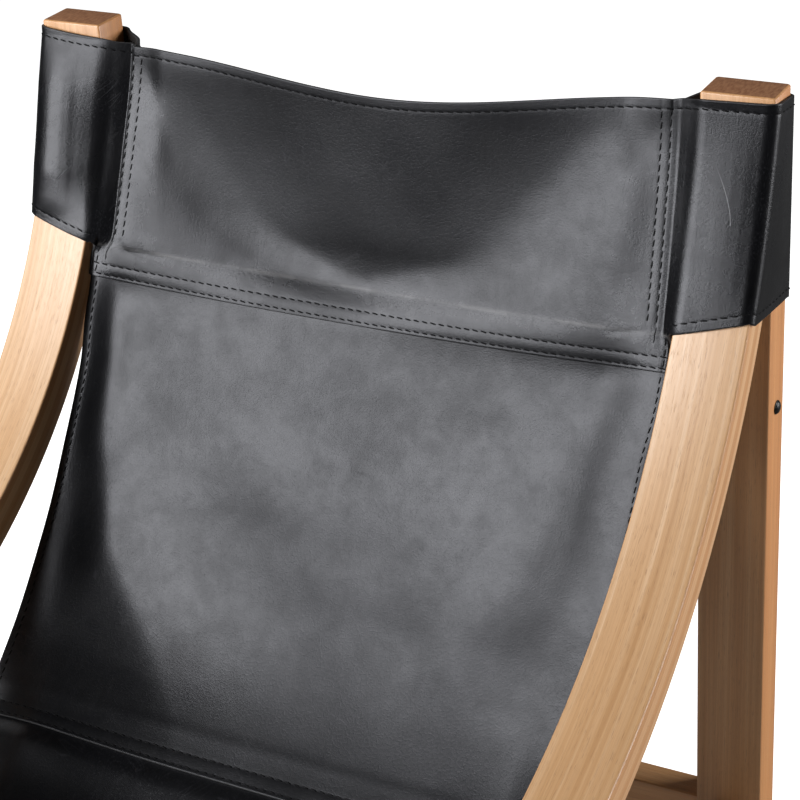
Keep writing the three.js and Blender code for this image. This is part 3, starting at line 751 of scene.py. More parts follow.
def sheet_mesh(name, P, UV, keep, worn=None, flip=False, taut=None):
    """A closed sheet from a grid of mid-surface points. keep marks the cells that are leather.
    Returns the object and the normals of the grid."""
    P = np.asarray(P, float)
    nr, nc = P.shape[:2]
    dr = np.gradient(P, axis=0)
    dc = np.gradient(P, axis=1)
    N = unit(np.cross(dc, dr))
    if flip:
        N = -N
    used = np.zeros((nr, nc), bool)
    for a in (0, 1):
        for b in (0, 1):
            used[a:nr - 1 + a, b:nc - 1 + b] |= keep
    idx = -np.ones((nr, nc), int)
    idx[used] = np.arange(used.sum())
    base, nor, uvs = P[used], N[used], UV[used]
    wn = worn[used] if worn is not None else np.zeros(len(base))
    ta = taut[used] if taut is not None else np.zeros(len(base))
    n = len(base)
    verts = [base + nor * THICK / 2, base - nor * THICK / 2]
    q = []
    for i, j in zip(*np.nonzero(keep)):
        a, b, c, d = idx[i, j], idx[i, j + 1], idx[i + 1, j + 1], idx[i + 1, j]
        q.append((a, b, c, d) if not flip else (a, d, c, b))
    q = np.array(q)
    faces = [tuple(f) for f in q] + [tuple(f[::-1] + n) for f in q]
    nxt, seen = {}, set()
    for f in q:
        for i in range(4):
            seen.add((f[i], f[(i + 1) % 4]))
    for a, b in seen:
        if (b, a) not in seen:
            nxt[a] = b
    rim_at = [np.zeros(2 * n)]
    total = 2 * n
    uv_all, side_all, worn_all = [uvs, uvs], [np.ones(n), np.zeros(n)], [wn, np.zeros(n)]
    taut_all = [ta, np.zeros(n)]
    while nxt:
        a = next(iter(nxt))
        loop = []
        while a in nxt:
            loop.append(a)
            a = nxt.pop(a)
        L = np.array(loop)
        pts = base[L]
        e1 = unit(np.roll(pts, -1, 0) - pts)
        e0 = unit(pts - np.roll(pts, 1, 0))
        out = unit(np.cross(e0, nor[L]) + np.cross(e1, nor[L]))
        mid = base.mean(0)
        m_ = len(L)
        prev = L
        for k, (o, h) in enumerate(RIM):
            verts.append(pts + out * o + nor[L] * h)
            ids = np.arange(total, total + m_)
            total += m_
            for i in range(m_):
                j = (i + 1) % m_
                faces.append((prev[i], ids[i], ids[j], prev[j]))
            rim_at.append(np.full(m_, 1.0 if 0 < k < len(RIM) - 1 else 0.55))
            uv_all.append(uvs[L] + np.array([0, 0.0]))
            side_all.append(np.full(m_, 1.0 if k < 3 else 0.3))
            worn_all.append(np.full(m_, 0.0))
            taut_all.append(np.full(m_, 0.0))
            prev = ids
        for i in range(m_):
            j = (i + 1) % m_
            faces.append((prev[i], L[i] + n, L[j] + n, prev[j]))
    V = np.concatenate(verts)
    ob = mesh_object(name, row(V), faces, LEATHER, {
        "rim": ("FLOAT", np.concatenate(rim_at)), "grain_side": ("FLOAT", np.concatenate(side_all)),
        "worn": ("FLOAT", np.concatenate(worn_all)), "taut": ("FLOAT", np.concatenate(taut_all))}, uv=np.concatenate(uv_all) * 0.001)
    if signed_volume(ob) < 0:
        ob.data.flip_normals()
    return ob, N


class Thread:
    """Collects stitches and makes one mesh of them."""

    def __init__(self):
        self.v, self.f, self.n = [], [], 0

    def line(self, pts, nor, pitch=8.0, gap=1.9, r=0.62, start=0.5, slant=0.55, both=True, under=THICK):
        pts, nor = np.asarray(pts, float), np.asarray(nor, float)
        d = np.concatenate([[0], np.cumsum(np.linalg.norm(np.diff(pts, axis=0), axis=1))])
        count = max(1, int((d[-1] - start) / pitch))
        pitch = (d[-1] - start) / count

        def at(s):
            p = np.stack([np.interp(s, d, pts[:, i]) for i in range(3)], -1)
            n = unit(np.stack([np.interp(s, d, nor[:, i]) for i in range(3)], -1))
            return p, n
        for k in range(count):
            s0 = start + k * pitch + gap / 2
            s1 = start + (k + 1) * pitch - gap / 2
            for sgn in ((1, -1) if both else (1,)):
                ss = s0 + (s1 - s0) * np.array([0, 0.09, 0.24, 0.5, 0.76, 0.91, 1.0])
                hh = np.array([-0.9, -0.25, 0.18, 0.30, 0.18, -0.25, -0.9]) * r
                rr = np.array([0.55, 0.9, 1, 1.04, 1, 0.9, 0.55]) * r
                p, n = at(ss)
                tan = unit(np.gradient(p, axis=0))
                side = unit(np.cross(tan, n))
                off = np.linspace(-slant, slant, len(ss))[:, None] * sgn
                base = p + side * off + n * sgn * ((THICK / 2 if sgn > 0 else under - THICK / 2) + hh)[:, None]
                per = 6
                for i in range(len(ss)):
                    for j in range(per):
                        a = 2 * math.pi * j / per
                        self.v.append(base[i] + (side[i] * math.cos(a) + n[i] * math.sin(a)) * rr[i])
                self.f += [tuple(int(x) + self.n for x in f) for f in tube_faces(len(ss), per)]
                self.n += len(ss) * per

    def make(self, name):
        ob = mesh_object(name, row(np.array(self.v)), self.f, THREAD, sharp=60)
        ob.data.flip_normals() if signed_volume(ob) < 0 else None
        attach(ob, "root"), ob
        return ob


def near(steps_, line, fine):
    """Sorted samples: the coarse ones, and a close set round each stitch line."""
    a = set(np.round(steps_, 3))
    for c in line:
        a = {x for x in a if abs(x - c) > fine * 3.4}
        a |= {round(c + fine * k, 3) for k in (-3, -2, -1, 0, 1, 2, 3)}
    return np.array(sorted(a))


def groove(d, depth=0.12, width=1.0):
    """Dip of the leather along a stitch line."""
    return -depth * np.exp(-(d / width) ** 2)


# ---- head panel with its two pockets
INNER, OUTER = 248.0, 256.0          # the two vertical stitch lines
EDGE_X = 271.0


def front_y(z):
    """Mid-surface of a pocket's front layer, over the post and the member's long arc."""
    z = np.asarray(z, float)
    y = np.where(z > -14, 0, ARC_Y + np.sqrt(ARC_R ** 2 - (np.clip(z, -230, 0) - ARC_Z) ** 2))
    ease = 2.8 * np.sin(np.pi * np.clip((z + 6) / -166, 0, 1))
    return np.minimum(0, y) - 1.8 - ease


def round_path(pts, radii, seg, arc):
    """A polyline with rounded corners, always the same number of points."""
    pts = [np.array(p, float) for p in pts]
    ends = []
    for i, p in enumerate(pts):
        if 0 < i < len(pts) - 1 and radii[i] > 0:
            a, b = pts[i - 1] - p, pts[i + 1] - p
            la, lb = np.linalg.norm(a), np.linalg.norm(b)
            a, b = a / la, b / lb
            ang = math.acos(float(np.clip(a @ b, -1, 1)))
            if ang > math.radians(177):
                L = 1.0
                ends.append([p + a * L + (b - a) * L * t for t in np.linspace(0, 1, arc + 1)])
                continue
            L = min(radii[i] / math.tan(ang / 2), 0.48 * la, 0.48 * lb)
            r = L * math.tan(ang / 2)
            c = p + unit(a + b) * (r / math.sin(ang / 2))
            v1, v2 = p + a * L - c, p + b * L - c
            om = math.acos(float(np.clip(v1 @ v2 / (r * r), -1, 1)))
            ends.append([c + (math.sin((1 - t) * om) * v1 + math.sin(t * om) * v2) / math.sin(om) for t in np.linspace(0, 1, arc + 1)])
        else:
            ends.append([p])
    out = list(ends[0])
    for i in range(len(pts) - 1):
        a, b = ends[i][-1], ends[i + 1][0]
        out += [a + (b - a) * t for t in seg[i][1:]] if len(seg[i]) > 1 else []
        out += ends[i + 1][1:]
    return np.array(out)


lin = lambda n: np.linspace(0, 1, n + 1)
SEG = [lin(6), lin(7), lin(4), lin(26), lin(13), lin(20), lin(15), lin(10)]
ARC_N = 7


def pocket_section(z, x2=259.0, back=2.0, r2=4.0):
    """Plan outline of a pocket at one height, from the outer stitch line round the post and back."""
    ys, yf = float(z_line_y(z)), float(front_y(z))
    w = float(step(-206, -168, z))
    yv = ys + back * w
    y_corner = yf * w + (ys - 1.0) * (1 - w)
    k2 = np.array([x2, yv])
    corner = np.array([280.0, y_corner])
    k2b = k2 + (corner - k2) * (EDGE_X - x2) / (280.0 - x2)
    pts = [(OUTER, ys), k2, k2b, corner, (338.9, yf), (338.9, 38.5), (275.0, 38.5), (256.0, ys + 4.6), (243.5, ys + 3.25)]
    radii = [0, r2, 0, 24.0, 8.0, 5.0, 6.0, 9.0, 0]
    ends = round_path(pts, radii, SEG, ARC_N)
    return ends


# column bookkeeping: where each straight and each corner starts
def section_marks():
    marks, i = [0], 0
    radii = [0, 4.0, 0, 24.0, 8.0, 5.0, 6.0, 9.0, 0]
    for k in range(len(SEG)):
        i += len(SEG[k]) - 1
        marks.append(i)
        if radii[k + 1] > 0:
            i += ARC_N
            marks.append(i)
        else:
            marks.append(i)
    return marks


Z_LEVELS = np.arange(6, -232, -2.0)
SECTIONS = np.array([pocket_section(z) for z in Z_LEVELS])       # level, column, (x, y)
SOFT_SECTIONS = np.array([pocket_section(z, 263.0, 0.3, 9.0) for z in Z_LEVELS])
MARK = section_marks()
COL_EDGE = MARK[3]                                                # the column at EDGE_X
N_PCOL = SECTIONS.shape[1]
mid_level = int(np.argmin(np.abs(Z_LEVELS + 100)))
P_LEN = np.concatenate([[0], np.cumsum(np.linalg.norm(np.diff(SECTIONS[mid_level], axis=0), axis=1))])


def pocket_xy(z, sections):
    """x and y for an array of heights with one column each: z is (rows, columns)."""
    f = np.clip((Z_LEVELS[0] - z) / 2.0, 0, len(Z_LEVELS) - 1.001)
    i = f.astype(int)
    t = (f - i)[..., None]
    c = np.arange(N_PCOL)[None, :]
    return sections[i, c] * (1 - t) + sections[i + 1, c] * t


def head_sheet():
    xc = near(np.arange(-245, 245.1, 5.0), [], 1)
    xc = np.array(sorted(set(np.round(xc, 3)) | {round(v * sg, 3) for sg in (1, -1) for v in
                                                (236, 238.5, 241, 243, 244.5, 246, 247, 248, 249, 250, 252, 254, 255, 256)}
                         - {245.0, -245.0, 240.0, -240.0}))
    nc = len(xc)
    # columns: left pocket reversed, centre, right pocket
    order = [("R", j) for j in range(N_PCOL - 1, 0, -1)] + [("C", j) for j in range(nc)] + [("L", j) for j in range(1, N_PCOL)]
    # "R" is the pocket at -x, "L" the one at +x
    total = len(order)
    side = np.array([-1 if k == "R" else (1 if k == "L" else 0) for k, _ in order])
    pj = np.array([j for _, j in order])

    # top and bottom edges, by column of the pocket, and over the centre
    m = MARK
    a_front_in, a_front_out = m[7], m[8]
    keys = [0, m[3], (m[5] + m[6]) // 2, (m[7] + m[8]) // 2, (m[9] + m[10]) // 2, (m[11] + m[12]) // 2, (m[13] + m[14]) // 2, N_PCOL - 1]
    cols = np.arange(N_PCOL)
    top_L = np.interp(cols, keys, [-11.5, -8.5, -6.5, -4.5, -9.5, -10.0, -16.5, -20.5])
    top_R = np.interp(cols, keys, [-17.5, -14.0, -11.5, -5.5, -10.0, -14.0, -20.0, -22.0])
    bot_L = np.interp(cols, keys, [-186, -186, -178.5, -163.0, -179.0, -181.0, -183.0, -184.0])
    bot_R = np.interp(cols, keys, [-186, -186, -180.0, -162.5, -179.0, -181.0, -183.0, -184.0])
    lev = SECTIONS[int(np.argmin(np.abs(Z_LEVELS + 170)))]
    for b in (bot_L, bot_R):                     # rounded inner corner of the pocket's bottom edge
        for c in range(COL_EDGE, keys[2] + 6):
            x = lev[c, 0]
            t = np.clip((EDGE_X + 7.0 - x) / 7.0, 0, 1)
            base = b[keys[2]] + (lev[c, 0] - 277) * 0.2
            b[c] = base - 7.0 * (1 - math.sqrt(max(0.0, 1 - t * t))) if x < EDGE_X + 7.0 else b[c]
    bz = {"L": bot_L, "R": bot_R}
    Z1L, Z1R = float(bot_L[COL_EDGE]), float(bot_R[COL_EDGE])

    def centre_top(x):
        u = (x + OUTER) / (2 * OUTER)
        ends = -17.5 + (-11.5 + 17.5) * u
        return ends - 21.5 * np.cos(np.pi / 2 * np.clip((x - 8) / 250, -1, 1)) ** 1.75

    def column_edges(k, j):
        if k == "C":
            x = xc[j]
            return float(centre_top(x)), Z1R + (Z1L - Z1R) * (x + 271) / 542
        return float((top_L if k == "L" else top_R)[j]), float(bz[k][j]) if j > COL_EDGE else (Z1L if k == "L" else Z1R)
    zt = np.array([column_edges(k, j)[0] for k, j in order])
    zb = np.array([column_edges(k, j)[1] for k, j in order])
    T = [0, 0.7, 1.8, 3.2, 4.6, 5.8, 6.6, 7.2, 7.8, 8.6, 9.8, 12, 15, 19]
    B = [19, 15, 12, 9.8, 8.6, 7.8, 7.2, 6.6, 5.8, 4.6, 3.2, 1.8, 0.7, 0]
    mid = np.linspace(0, 1, 32)[1:-1]
    rows = [zt - v * 0.97 for v in T] + [(zt - 19) * (1 - t) + (zb + 19) * t for t in mid] + [zb + v * 0.97 for v in B]
    r1 = len(rows)
    zrow_top_stitch = 7
    zrow_bot_stitch = r1 - 1 - B[::-1].index(7.2)
    # below the pockets: down to the lap over the back panel
    xs_all = np.array([xc[j] if k == "C" else (1 if k == "L" else -1) * SECTIONS[-10, j, 0] for k, j in order])
    xs_all = np.clip(xs_all, -EDGE_X, EDGE_X)
    zs = seam_z(xs_all)
    low = [(0.14, None), (0.3, None), (0.46, None), (0.62, None), (0.78, None), (None, 5.2), (None, 3.4), (None, 2.0), (None, 1.0), (None, 0.0), (None, -1.0),
           (None, -2.2), (None, -4.1), (None, -6.0), (None, -7.3), (None, -8.3), (None, -9.2), (None, -10.0), (None, -10.9)]
    for t, d in low:
        if t is not None:
            rows.append(zb * (1 - t) + (zs + 5.6) * t)
        else:
            rows.append(zs + d)
    z = np.array(rows)
    nr = len(z)
    row_s1 = r1 + [d for _, d in low].index(0.0)
    row_s2 = r1 + [d for _, d in low].index(-8.3)
    P = np.zeros((nr, total, 3))
    cidx = np.nonzero(side == 0)[0]
    xcg = np.broadcast_to(xc, (nr, nc))
    zc = z[:, cidx]
    P[:, cidx] = sling_point(xcg, s_of_z(zc))
    for k, sg in (("L", 1), ("R", -1)):
        ci = np.nonzero(side == sg)[0]
        jj = pj[ci]
        full = np.zeros((nr, N_PCOL))
        full[:, jj] = z[:, ci]
        full[:, 0] = full[:, 1]
        xy = pocket_xy(full, SOFT_SECTIONS if sg > 0 else SECTIONS)[:, jj]
        zz = z[:, ci]
        # the front stands off the wood as a shallow uneven arch; a little fullness on the outside and the back
        crown = np.zeros(N_PCOL)
        for a, b, amp in ((m[8], m[9], 0.9), (m[10], m[11], 1.2)):
            t = np.clip((P_LEN - P_LEN[a]) / (P_LEN[b] - P_LEN[a]), 0, 1)
            crown += np.where((cols > a) & (cols < b), amp * np.sin(np.pi * t) ** 1.3, 0)
        sec = SECTIONS[mid_level]
        shape = ([(274, 0), (283, 0.7), (290, 1.05), (300, 1.45), (310, 1.6), (320, 1.4), (330, 0.75), (339, -0.6)] if sg > 0 else
                 [(274, 0), (278, 1.0), (283, 3.1), (290, 5.8), (300, 9.1), (308, 11.0), (315, 11.8), (320, 11.8), (326, 10.9), (332, 9.0), (339, 5.7)])
        arch = smooth_table(sec[:, 0], shape, 1.5)
        arch = np.where(cols <= m[8], arch, arch[m[8]] * (1 - step(m[8], m[9], cols))) * (cols >= m[3]) * (cols < m[9])
        tg = unit(np.gradient(sec, axis=0))
        nn = np.stack([tg[:, 1], -tg[:, 0]], axis=1)
        dz = smooth_table(-zz, [(0, 0.05), (15, 0.25), (30, 0.55), (52, 0.9), (75, 1.0), (122, 1.0), (150, 0.6), (165, 0.25), (180, 0.05)], 4.0)
        xy = xy + (nn * crown[:, None] - np.array([0.0, 1.0]) * arch[:, None])[jj][None] * dz[..., None]
        P[:, ci, 0] = xy[..., 0] * sg
        P[:, ci, 1] = xy[..., 1]
        P[:, ci, 2] = zz
        # between the stitches and the side edge, follow the sling below the pocket
        narrow = (jj <= COL_EDGE)
        cn = ci[narrow]
        zz2 = z[:, cn]
        mixw = step(-170, -200, zz2)[..., None]
        free = sling_point(P[:, cn, 0], s_of_z(zz2))
        P[:, cn] = P[:, cn] * (1 - mixw) + free * mixw
    # the double stitch lines are not plumb: each strip leans a little
    up = (z + 180) / 170
    x_abs, hold = np.abs(P[..., 0]), step(-193, -176, z)
    pull = step(196, 243, x_abs) * step(300, 266, x_abs) * (4.0 + 9.0 * up) * (1 - 0.8 * step(22, 37, P[..., 1]))
    push = step(196, 243, x_abs) * step(277, 259, x_abs) * (5.0 - 8.0 * up)
    P[..., 0] += np.where(P[..., 0] < 0, pull, push) * hold
    # flat coordinates
    u = np.zeros(total)
    for i, (k, j) in enumerate(order):
        u[i] = xc[j] if k == "C" else (1 if k == "L" else -1) * (OUTER + P_LEN[j])
    UV = np.stack([np.broadcast_to(u, (nr, total)), -s_of_z(z)], axis=-1)
    # lift over the back panel's edge at the seam, grooves at the stitch lines
    lap = 0.25 * step(50.0, 12.0, z - zs[None]) * (np.abs(xs_all) <= EDGE_X + 0.1)
    only_low = (np.abs(u) <= OUTER + P_LEN[COL_EDGE] + 0.01)
    lap = lap * only_low[None]
    uu = np.abs(u)[None, :]
    stop = step(-181, -177, z)                          # the double line ends above the seam
    g = (groove(uu - INNER) + groove(uu - OUTER)) * stop
    pad = 0.16 * np.exp(-((uu - 252) / 2.6) ** 2) * stop
    dtop = zt[None] - z
    g = g + groove(dtop - 7.2 * 0.97)
    pk = (np.abs(u) > OUTER + P_LEN[COL_EDGE] + 1)[None]
    g = g + groove(z - zb[None] - 7.2 * 0.97) * pk
    g = g + (groove(z - zs[None]) + groove(z - zs[None] + 8.3)) * only_low[None]
    low_side = step(-176, -182, z)
    g = g + groove(uu - (OUTER + P_LEN[COL_EDGE] - 6.6)) * low_side
    puff = 0.16 * np.exp(-((z - zs[None] + 4.1) / 2.6) ** 2) * only_low[None]
    # the fold that runs out of the pocket's lower inner corner
    crease = np.zeros_like(z)
    for x0, z0, x1, z1, d, wd in ((-246, -185, -216, -194, 0.8, 2.2), (-238, -186, -190, -189, 0.6, 2.4), (246, -184, 214, -190, 0.7, 2.6),
                                  (-250, -179, -232, -192, 0.6, 2.0), (240, -190, 226, -196, 0.4, 2.2)):
        ax, az = u[None] - x0, z - z0
        ex, ez = x1 - x0, z1 - z0
        L = math.hypot(ex, ez)
        t = np.clip((ax * ex + az * ez) / L ** 2, 0, 1)
        dd = np.hypot(ax - t * ex, az - t * ez)
        crease -= 0.45 * d * np.exp(-(dd / wd) ** 2) * np.sin(np.pi * np.clip(0.15 + 0.8 * t, 0, 1))
    disp = lap + g + pad + puff + crease
    dr, dc = np.gradient(P, axis=0), np.gradient(P, axis=1)
    Nn = unit(np.cross(dc, dr))
    sgn = 1.0 if Nn[5, np.nonzero(side == 0)[0][nc // 2], 1] < 0 else -1.0
    Nn *= sgn
    P = P + Nn * disp[..., None]
    keep = np.ones((nr - 1, total - 1), bool)
    inside = np.abs(u) <= OUTER + P_LEN[COL_EDGE] + 0.01
    keep[r1 - 1:, :] &= (inside[:-1] & inside[1:])[None]
    worn = 0.5 * np.exp(-((z - zs[None] - 16.5) / 1.3) ** 2) * only_low[None] * (0.4 + 0.6 * (ripples(xs_all[None] * 3, z * 2) > 0.1))
    taut = step(185, 240, np.abs(u))[None] * step(-20, -70, z) * np.where(u < 0, 1.0, 0.45)[None]
    taut = np.maximum(taut, 0.8 * np.exp(-((z - zs[None] - 12) / 9.0) ** 2) * only_low[None])
    ob, N = sheet_mesh("sling_head", P, UV, keep, worn, flip=(sgn < 0), taut=taut)

    th = Thread()
    front = lambda i, j: (P[i, j], N[i, j])
    ctr = np.nonzero(side == 0)[0]
    # top edge, all the way round both pockets
    for a, b in ((0, ctr[0] + 5), (ctr[0] + 5, ctr[-1] - 5), (ctr[-1] - 5, total - 1)):
        seg = slice(a, b + 1)
        th.line(P[zrow_top_stitch, seg], N[zrow_top_stitch, seg], start=2.0)
    # pocket bottoms
    for sg in (1, -1):
        ci = np.nonzero((side == sg) & (pj > COL_EDGE + 2))[0]
        ci = ci if sg > 0 else ci[::-1]
        th.line(P[zrow_bot_stitch, ci], N[zrow_bot_stitch, ci], start=1.0)
    # the double lines, through both layers
    for xv in (INNER, OUTER, -INNER, -OUTER):
        j = ctr[int(np.argmin(np.abs(xc - xv)))]
        rr = [i for i in range(zrow_top_stitch - (3 if abs(xv) == OUTER else 0), nr) if z[i, j] > -177.5]
        th.line(P[rr, j], N[rr, j], start=0.6, pitch=8.3, under=2 * THICK + 0.3)
    # side edges below the pockets and the two seam lines
    for sg in (1, -1):
        want = OUTER + P_LEN[COL_EDGE] - 6.6
        j = int(np.argmin(np.abs(u - sg * want)))
        rr = [i for i in range(nr) if z[i, j] < -174 and i < row_s2 + 1]
        th.line(P[rr, j], N[rr, j], start=1.0)
    js = np.nonzero(np.abs(u) <= OUTER + P_LEN[COL_EDGE] - 1.6)[0]
    th.line(P[row_s1, js], N[row_s1, js], start=1.0, under=2 * THICK + 0.3)
    th.line(P[row_s2, js], N[row_s2, js], start=4.0, under=2 * THICK + 0.3)
    return ob, th.make("head_stitching")


def panel_rows(fixed, a, b, stepping):
    """Row positions from a to b: the fixed ones, and even ones between."""
    keep = sorted(set(np.round(fixed, 3)))
    out = []
    for p, q in zip(keep[:-1], keep[1:]):
        n = max(1, int(round((q - p) / stepping)))
        out += list(np.linspace(p, q, n, endpoint=False))
    return np.array(out + [keep[-1]])


def edge_columns(half, stitch):
    near_edge = [half, half - 0.8, half - 2.0, half - 3.6, stitch + 2.0, stitch + 1.0, stitch, stitch - 1.0, stitch - 2.0, stitch - 3.5,
                 stitch - 6, stitch - 9, stitch - 12.5, stitch - 16, stitch - 20, stitch - 24.5]
    inner = np.arange(-235, 235.1, 5.0)
    return np.array(sorted(set(np.round([*near_edge, *[-v for v in near_edge], *inner], 3))))


def back_sheet():
    stitch = 264.5
    xc = edge_columns(EDGE_X, stitch)
    nc = len(xc)
    s_top = s_of_z(seam_z(xc) + 16.5)
    s_sm = s_of_z(seam_z(xc))
    A = [0, 0.7, 2, 4, 7, 10, 13, 16]
    lowx = [34, 29, 26, 24.5, 23.3, 22, 20, 17, 14.4, 13.2, 12.2, 11.2, 10, 8, 6, 4.6, 3.5, 2.6, 1.7, 0.8, 0]
    mid = np.linspace(0, 1, 96)[1:-1]
    rows = [s_top + v for v in A] + [(s_top + 16) * (1 - t) + (S_FOLD - 34) * t for t in mid] + [np.full(nc, S_FOLD - v) for v in lowx]
    s = np.array(rows)
    nr = len(s)
    X = np.broadcast_to(xc, (nr, nc))
    P = sling_point(X, s)
    from_seam = s - s_sm[None]
    e = np.abs(X)
    # under the head panel at the top; over the seat panel at the bottom, with a step at the ridge
    lift = -2.95 * step(70, 11.5, from_seam)
    ridge = step(S_RIDGE - 4.5, S_RIDGE + 0.5, s)
    lift = lift + 0.3 * ridge
    lift = lift + 0.12 * np.exp(-((s - S_RIDGE) / 2.2) ** 2)
    g = groove(e - stitch) * step(9.5, 12, from_seam)
    g = g + groove(s - (S_FOLD - 12.2)) + groove(s - (S_FOLD - 2.6)) * 0.8
    puff = 0.15 * np.exp(-((s - (S_FOLD - 7.5)) / 3.0) ** 2)
    # one small dent in the middle of the back
    cx, cs = 13.0, float(s_of_z(-318))
    dent = -0.9 * np.exp(-(((X - cx) / 7.0) ** 2 + ((s - cs - 0.12 * (X - cx)) / 1.6) ** 2)) + 0.35 * np.exp(-(((X - cx) / 9.0) ** 2 + ((s - cs + 3.2) / 2.2) ** 2))
    roll = 0.5 * np.exp(-((e - EDGE_X) / 3.0) ** 2)
    disp = lift + g + puff + dent - roll * 0.0
    dr, dc = np.gradient(P, axis=0), np.gradient(P, axis=1)
    N = unit(np.cross(dc, dr))
    sgn = 1.0 if N[40, nc // 2, 1] < 0 else -1.0
    N *= sgn
    P = P + N * disp[..., None]
    UV = np.stack([X + 900, -s], axis=-1)
    worn = 1.1 * np.exp(-((s - S_RIDGE - 0.3) / 0.8) ** 2) * (0.45 + 0.55 * (ripples(X * 2.3, s * 0 + 11.0) > -0.15))
    worn = worn + 0.35 * np.exp(-(((X - cx) / 7.0) ** 2 + ((s - cs + 2.0) / 1.2) ** 2))
    keep = np.ones((nr - 1, nc - 1), bool)
    ob, N2 = sheet_mesh("sling_back", P, UV, keep, worn, flip=(sgn < 0))
    th = Thread()
    for xv in (stitch, -stitch):
        j = int(np.argmin(np.abs(xc - xv)))
        rr = [i for i in range(nr) if from_seam[i, j] > 12.5 and s[i, j] < S_FOLD - 1.0]
        th.line(P[rr, j], N2[rr, j], start=0.5)
    for d, st in ((12.2, 1.5), (2.6, 4.5)):
        i = int(np.argmin(np.abs(s[:, 0] - (S_FOLD - d))))
        j = np.nonzero(np.abs(xc) <= 268)[0]
        th.line(P[i, j], N2[i, j], start=st, under=2 * THICK + 0.3)
    return ob, th.make("back_stitching")


def seat_sheet():
    stitch = 264.5
    xc = edge_columns(EDGE_X, stitch)
    nc = len(xc)
    hem = S_END - 2.6
    fixed = [S_RIDGE + 0.6, S_RIDGE + 1.4, S_RIDGE + 3, S_FOLD - 12.2, S_FOLD - 2.6, S_FOLD, S_FOLD + 2, S_FOLD + 5, S_FRONT - 60, S_FRONT - 48, S_FRONT - 46,
             S_FRONT - 40, S_FRONT - 38, S_FRONT - 30, S_FRONT, S_END - 12, S_END - 7, S_END - 3, S_END - 1.0, S_END]
    s1 = panel_rows(fixed, S_RIDGE, S_END, 4.4)
    fine = s1[s1 < S_FRONT - 60]
    fine2 = s1[s1 >= S_FRONT - 60]
    extra = []
    for p, q in zip(fine2[:-1], fine2[1:]):
        extra += list(np.linspace(p, q, 3, endpoint=False))
    s1 = np.array([*fine, *extra, fine2[-1]])
    nr = len(s1)
    s = np.broadcast_to(s1[:, None], (nr, nc))
    X = np.broadcast_to(xc, (nr, nc)).copy()
    # a little narrower where it turns round the dowel
    X = X * (1 - (9.0 / EDGE_X) * step(S_FRONT - 120, S_FRONT - 20, s))
    P = sling_point(X, s)
    lift = -2.95 * step(S_FOLD + 16, S_FOLD + 1.0, s)
    e = np.abs(xc)[None]
    g = groove(e - stitch) * step(S_FOLD + 1, S_FOLD + 3, s) * step(S_FRONT - 20, S_FRONT - 32, s)
    hem_a, hem_b = S_FRONT - 47.0, S_FRONT - 39.0
    g = g + groove(s - hem_a) + groove(s - hem_b)
    disp = lift + g
    dr, dc = np.gradient(P, axis=0), np.gradient(P, axis=1)
    N = unit(np.cross(dc, dr))
    sgn = 1.0 if N[20, nc // 2, 2] > 0 else -1.0
    N *= sgn
    P = P + N * disp[..., None]
    UV = np.stack([X + 1900, -s], axis=-1)
    worn = 0.55 * np.exp(-((s - S_FRONT - 12) / 14.0) ** 2) * (0.3 + 0.7 * (ripples(X * 2.1, s * 3) > 0.25))
    keep = np.ones((nr - 1, nc - 1), bool)
    ob, N2 = sheet_mesh("sling_seat", P, UV, keep, worn, flip=(sgn < 0))
    th = Thread()
    for xv in (stitch, -stitch):
        j = int(np.argmin(np.abs(xc - xv)))
        rr = [i for i in range(nr) if S_FOLD + 3 < s1[i] < S_FRONT - 28]
        th.line(P[rr, j], N2[rr, j], start=0.5)
    for v, st in ((hem_a, 1.5), (hem_b, 5.0)):
        i = int(np.argmin(np.abs(s1 - v)))
        j = np.nonzero(np.abs(xc) <= 260)[0]
        th.line(P[i, j], N2[i, j], start=st)
    return ob, th.make("seat_stitching")


head, head_thread = head_sheet()
back, back_thread = back_sheet()
seat, seat_thread = seat_sheet()
for ob, nodes in ((head, ("head_panel", "left_pocket", "right_pocket")), (back, ("back_panel",)), (seat, ("seat_panel", "front_sleeve"))):
    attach(ob, "root"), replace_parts(ob, *nodes), ob


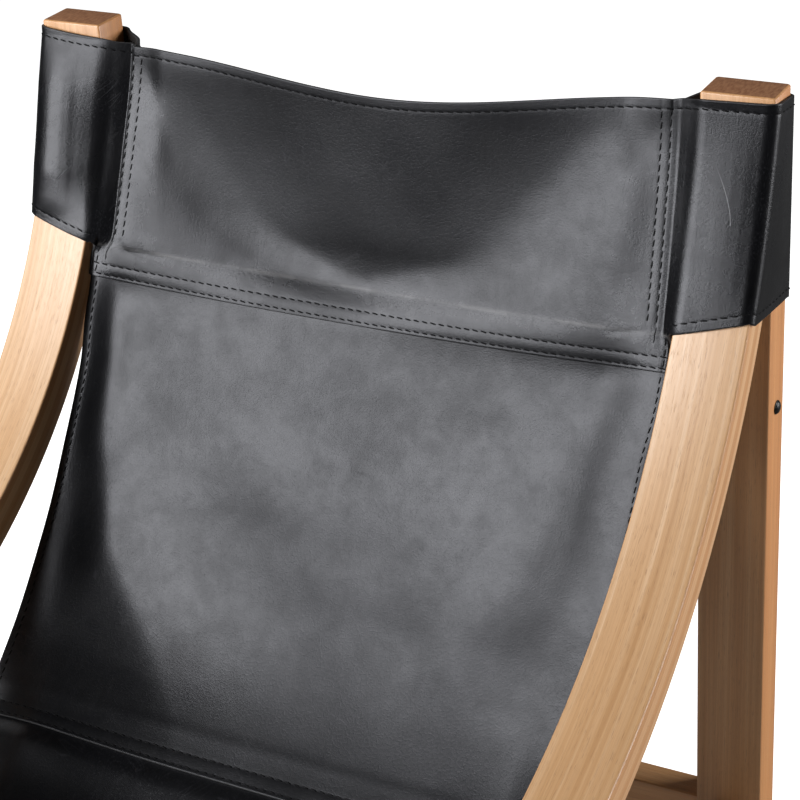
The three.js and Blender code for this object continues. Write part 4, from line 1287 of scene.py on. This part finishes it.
# ---------------------------------------------------------------- stage and light
floor_mat = Mat("floor")
fo = floor_mat.n("TexCoord").outputs["Object"]
fn = floor_mat.noise(fo, 3, 2, 0.5)
fcol = floor_mat.mix(fn, (0.86, 0.86, 0.86), (0.88, 0.88, 0.88))
dif = floor_mat.n("BsdfDiffuse", {"Color": fcol})
em = floor_mat.n("Emission", {"Color": (1, 1, 1, 1), "Strength": 0.85})
ad = floor_mat.n("AddShader", {0: dif.outputs[0], 1: em.outputs[0]})
bounce = floor_mat.n("BsdfDiffuse", {"Color": (0.50, 0.50, 0.50, 1)})
gloss = floor_mat.n("Emission", {"Color": (1, 1, 1, 1), "Strength": 0.12})
path = floor_mat.n("LightPath")
gm = floor_mat.n("MixShader", {0: path.outputs["Is Glossy Ray"], 1: bounce.outputs[0], 2: gloss.outputs[0]})
fm = floor_mat.n("MixShader", {0: path.outputs["Is Camera Ray"], 1: gm.outputs[0], 2: ad.outputs[0]})
floor_mat.t.links.new(fm.outputs[0], floor_mat.out.inputs["Surface"])
floor = mesh_object("floor", [(-9, -9, 0), (9, -9, 0), (9, 9, 0), (-9, 9, 0)], [(0, 1, 2, 3)], floor_mat.mat)

world = bpy.data.worlds.new("studio")
SCENE.world = world
world.use_nodes = True
wt = world.node_tree
wt.nodes.clear()
wo = wt.nodes.new("ShaderNodeOutputWorld")
wl = wt.nodes.new("ShaderNodeLightPath")
b1 = wt.nodes.new("ShaderNodeBackground")
b1.inputs[0].default_value = (1, 1, 1, 1)
b1.inputs[1].default_value = 0.05
b2 = wt.nodes.new("ShaderNodeBackground")
b2.inputs[0].default_value = (1, 1, 1, 1)
b2.inputs[1].default_value = 1.05
wm = wt.nodes.new("ShaderNodeMixShader")
wt.links.new(wl.outputs["Is Camera Ray"], wm.inputs[0])
wt.links.new(b1.outputs[0], wm.inputs[1])
wt.links.new(b2.outputs[0], wm.inputs[2])
wt.links.new(wm.outputs[0], wo.inputs[0])


def softbox(name, az, el, dist, w, h, radiance, color=(1, 1, 1), aim=(0, 0.1, 0.62)):
    """A soft panel at an azimuth from the chair's front (+ to the photo's right) and a height."""
    a, e = math.radians(az), math.radians(el)
    d = Vector((math.sin(a) * math.cos(e), -math.cos(a) * math.cos(e), math.sin(e)))
    li = bpy.data.lights.new(name, "AREA")
    li.shape = "RECTANGLE"
    li.size, li.size_y = w, h
    li.energy = radiance * math.pi * w * h
    li.color = color
    ob = bpy.data.objects.new(name, li)
    ob.location = Vector(aim) + d * dist
    ob.rotation_euler = d.to_track_quat("Z", "Y").to_euler()
    SCENE.collection.objects.link(ob)
    return ob


softbox("key", -35, 22.4, 3.2, 1.96, 2.08, 14.1)
softbox("fill", -105, 25, 2.6, 1.2, 1.6, 0.8)
softbox("rim", 118, 10, 2.3, 1.2, 1.2, 11.0)
SCENE.view_settings.view_transform = "Standard"
SCENE.view_settings.look = "None"

bpy.context.view_layer.update()
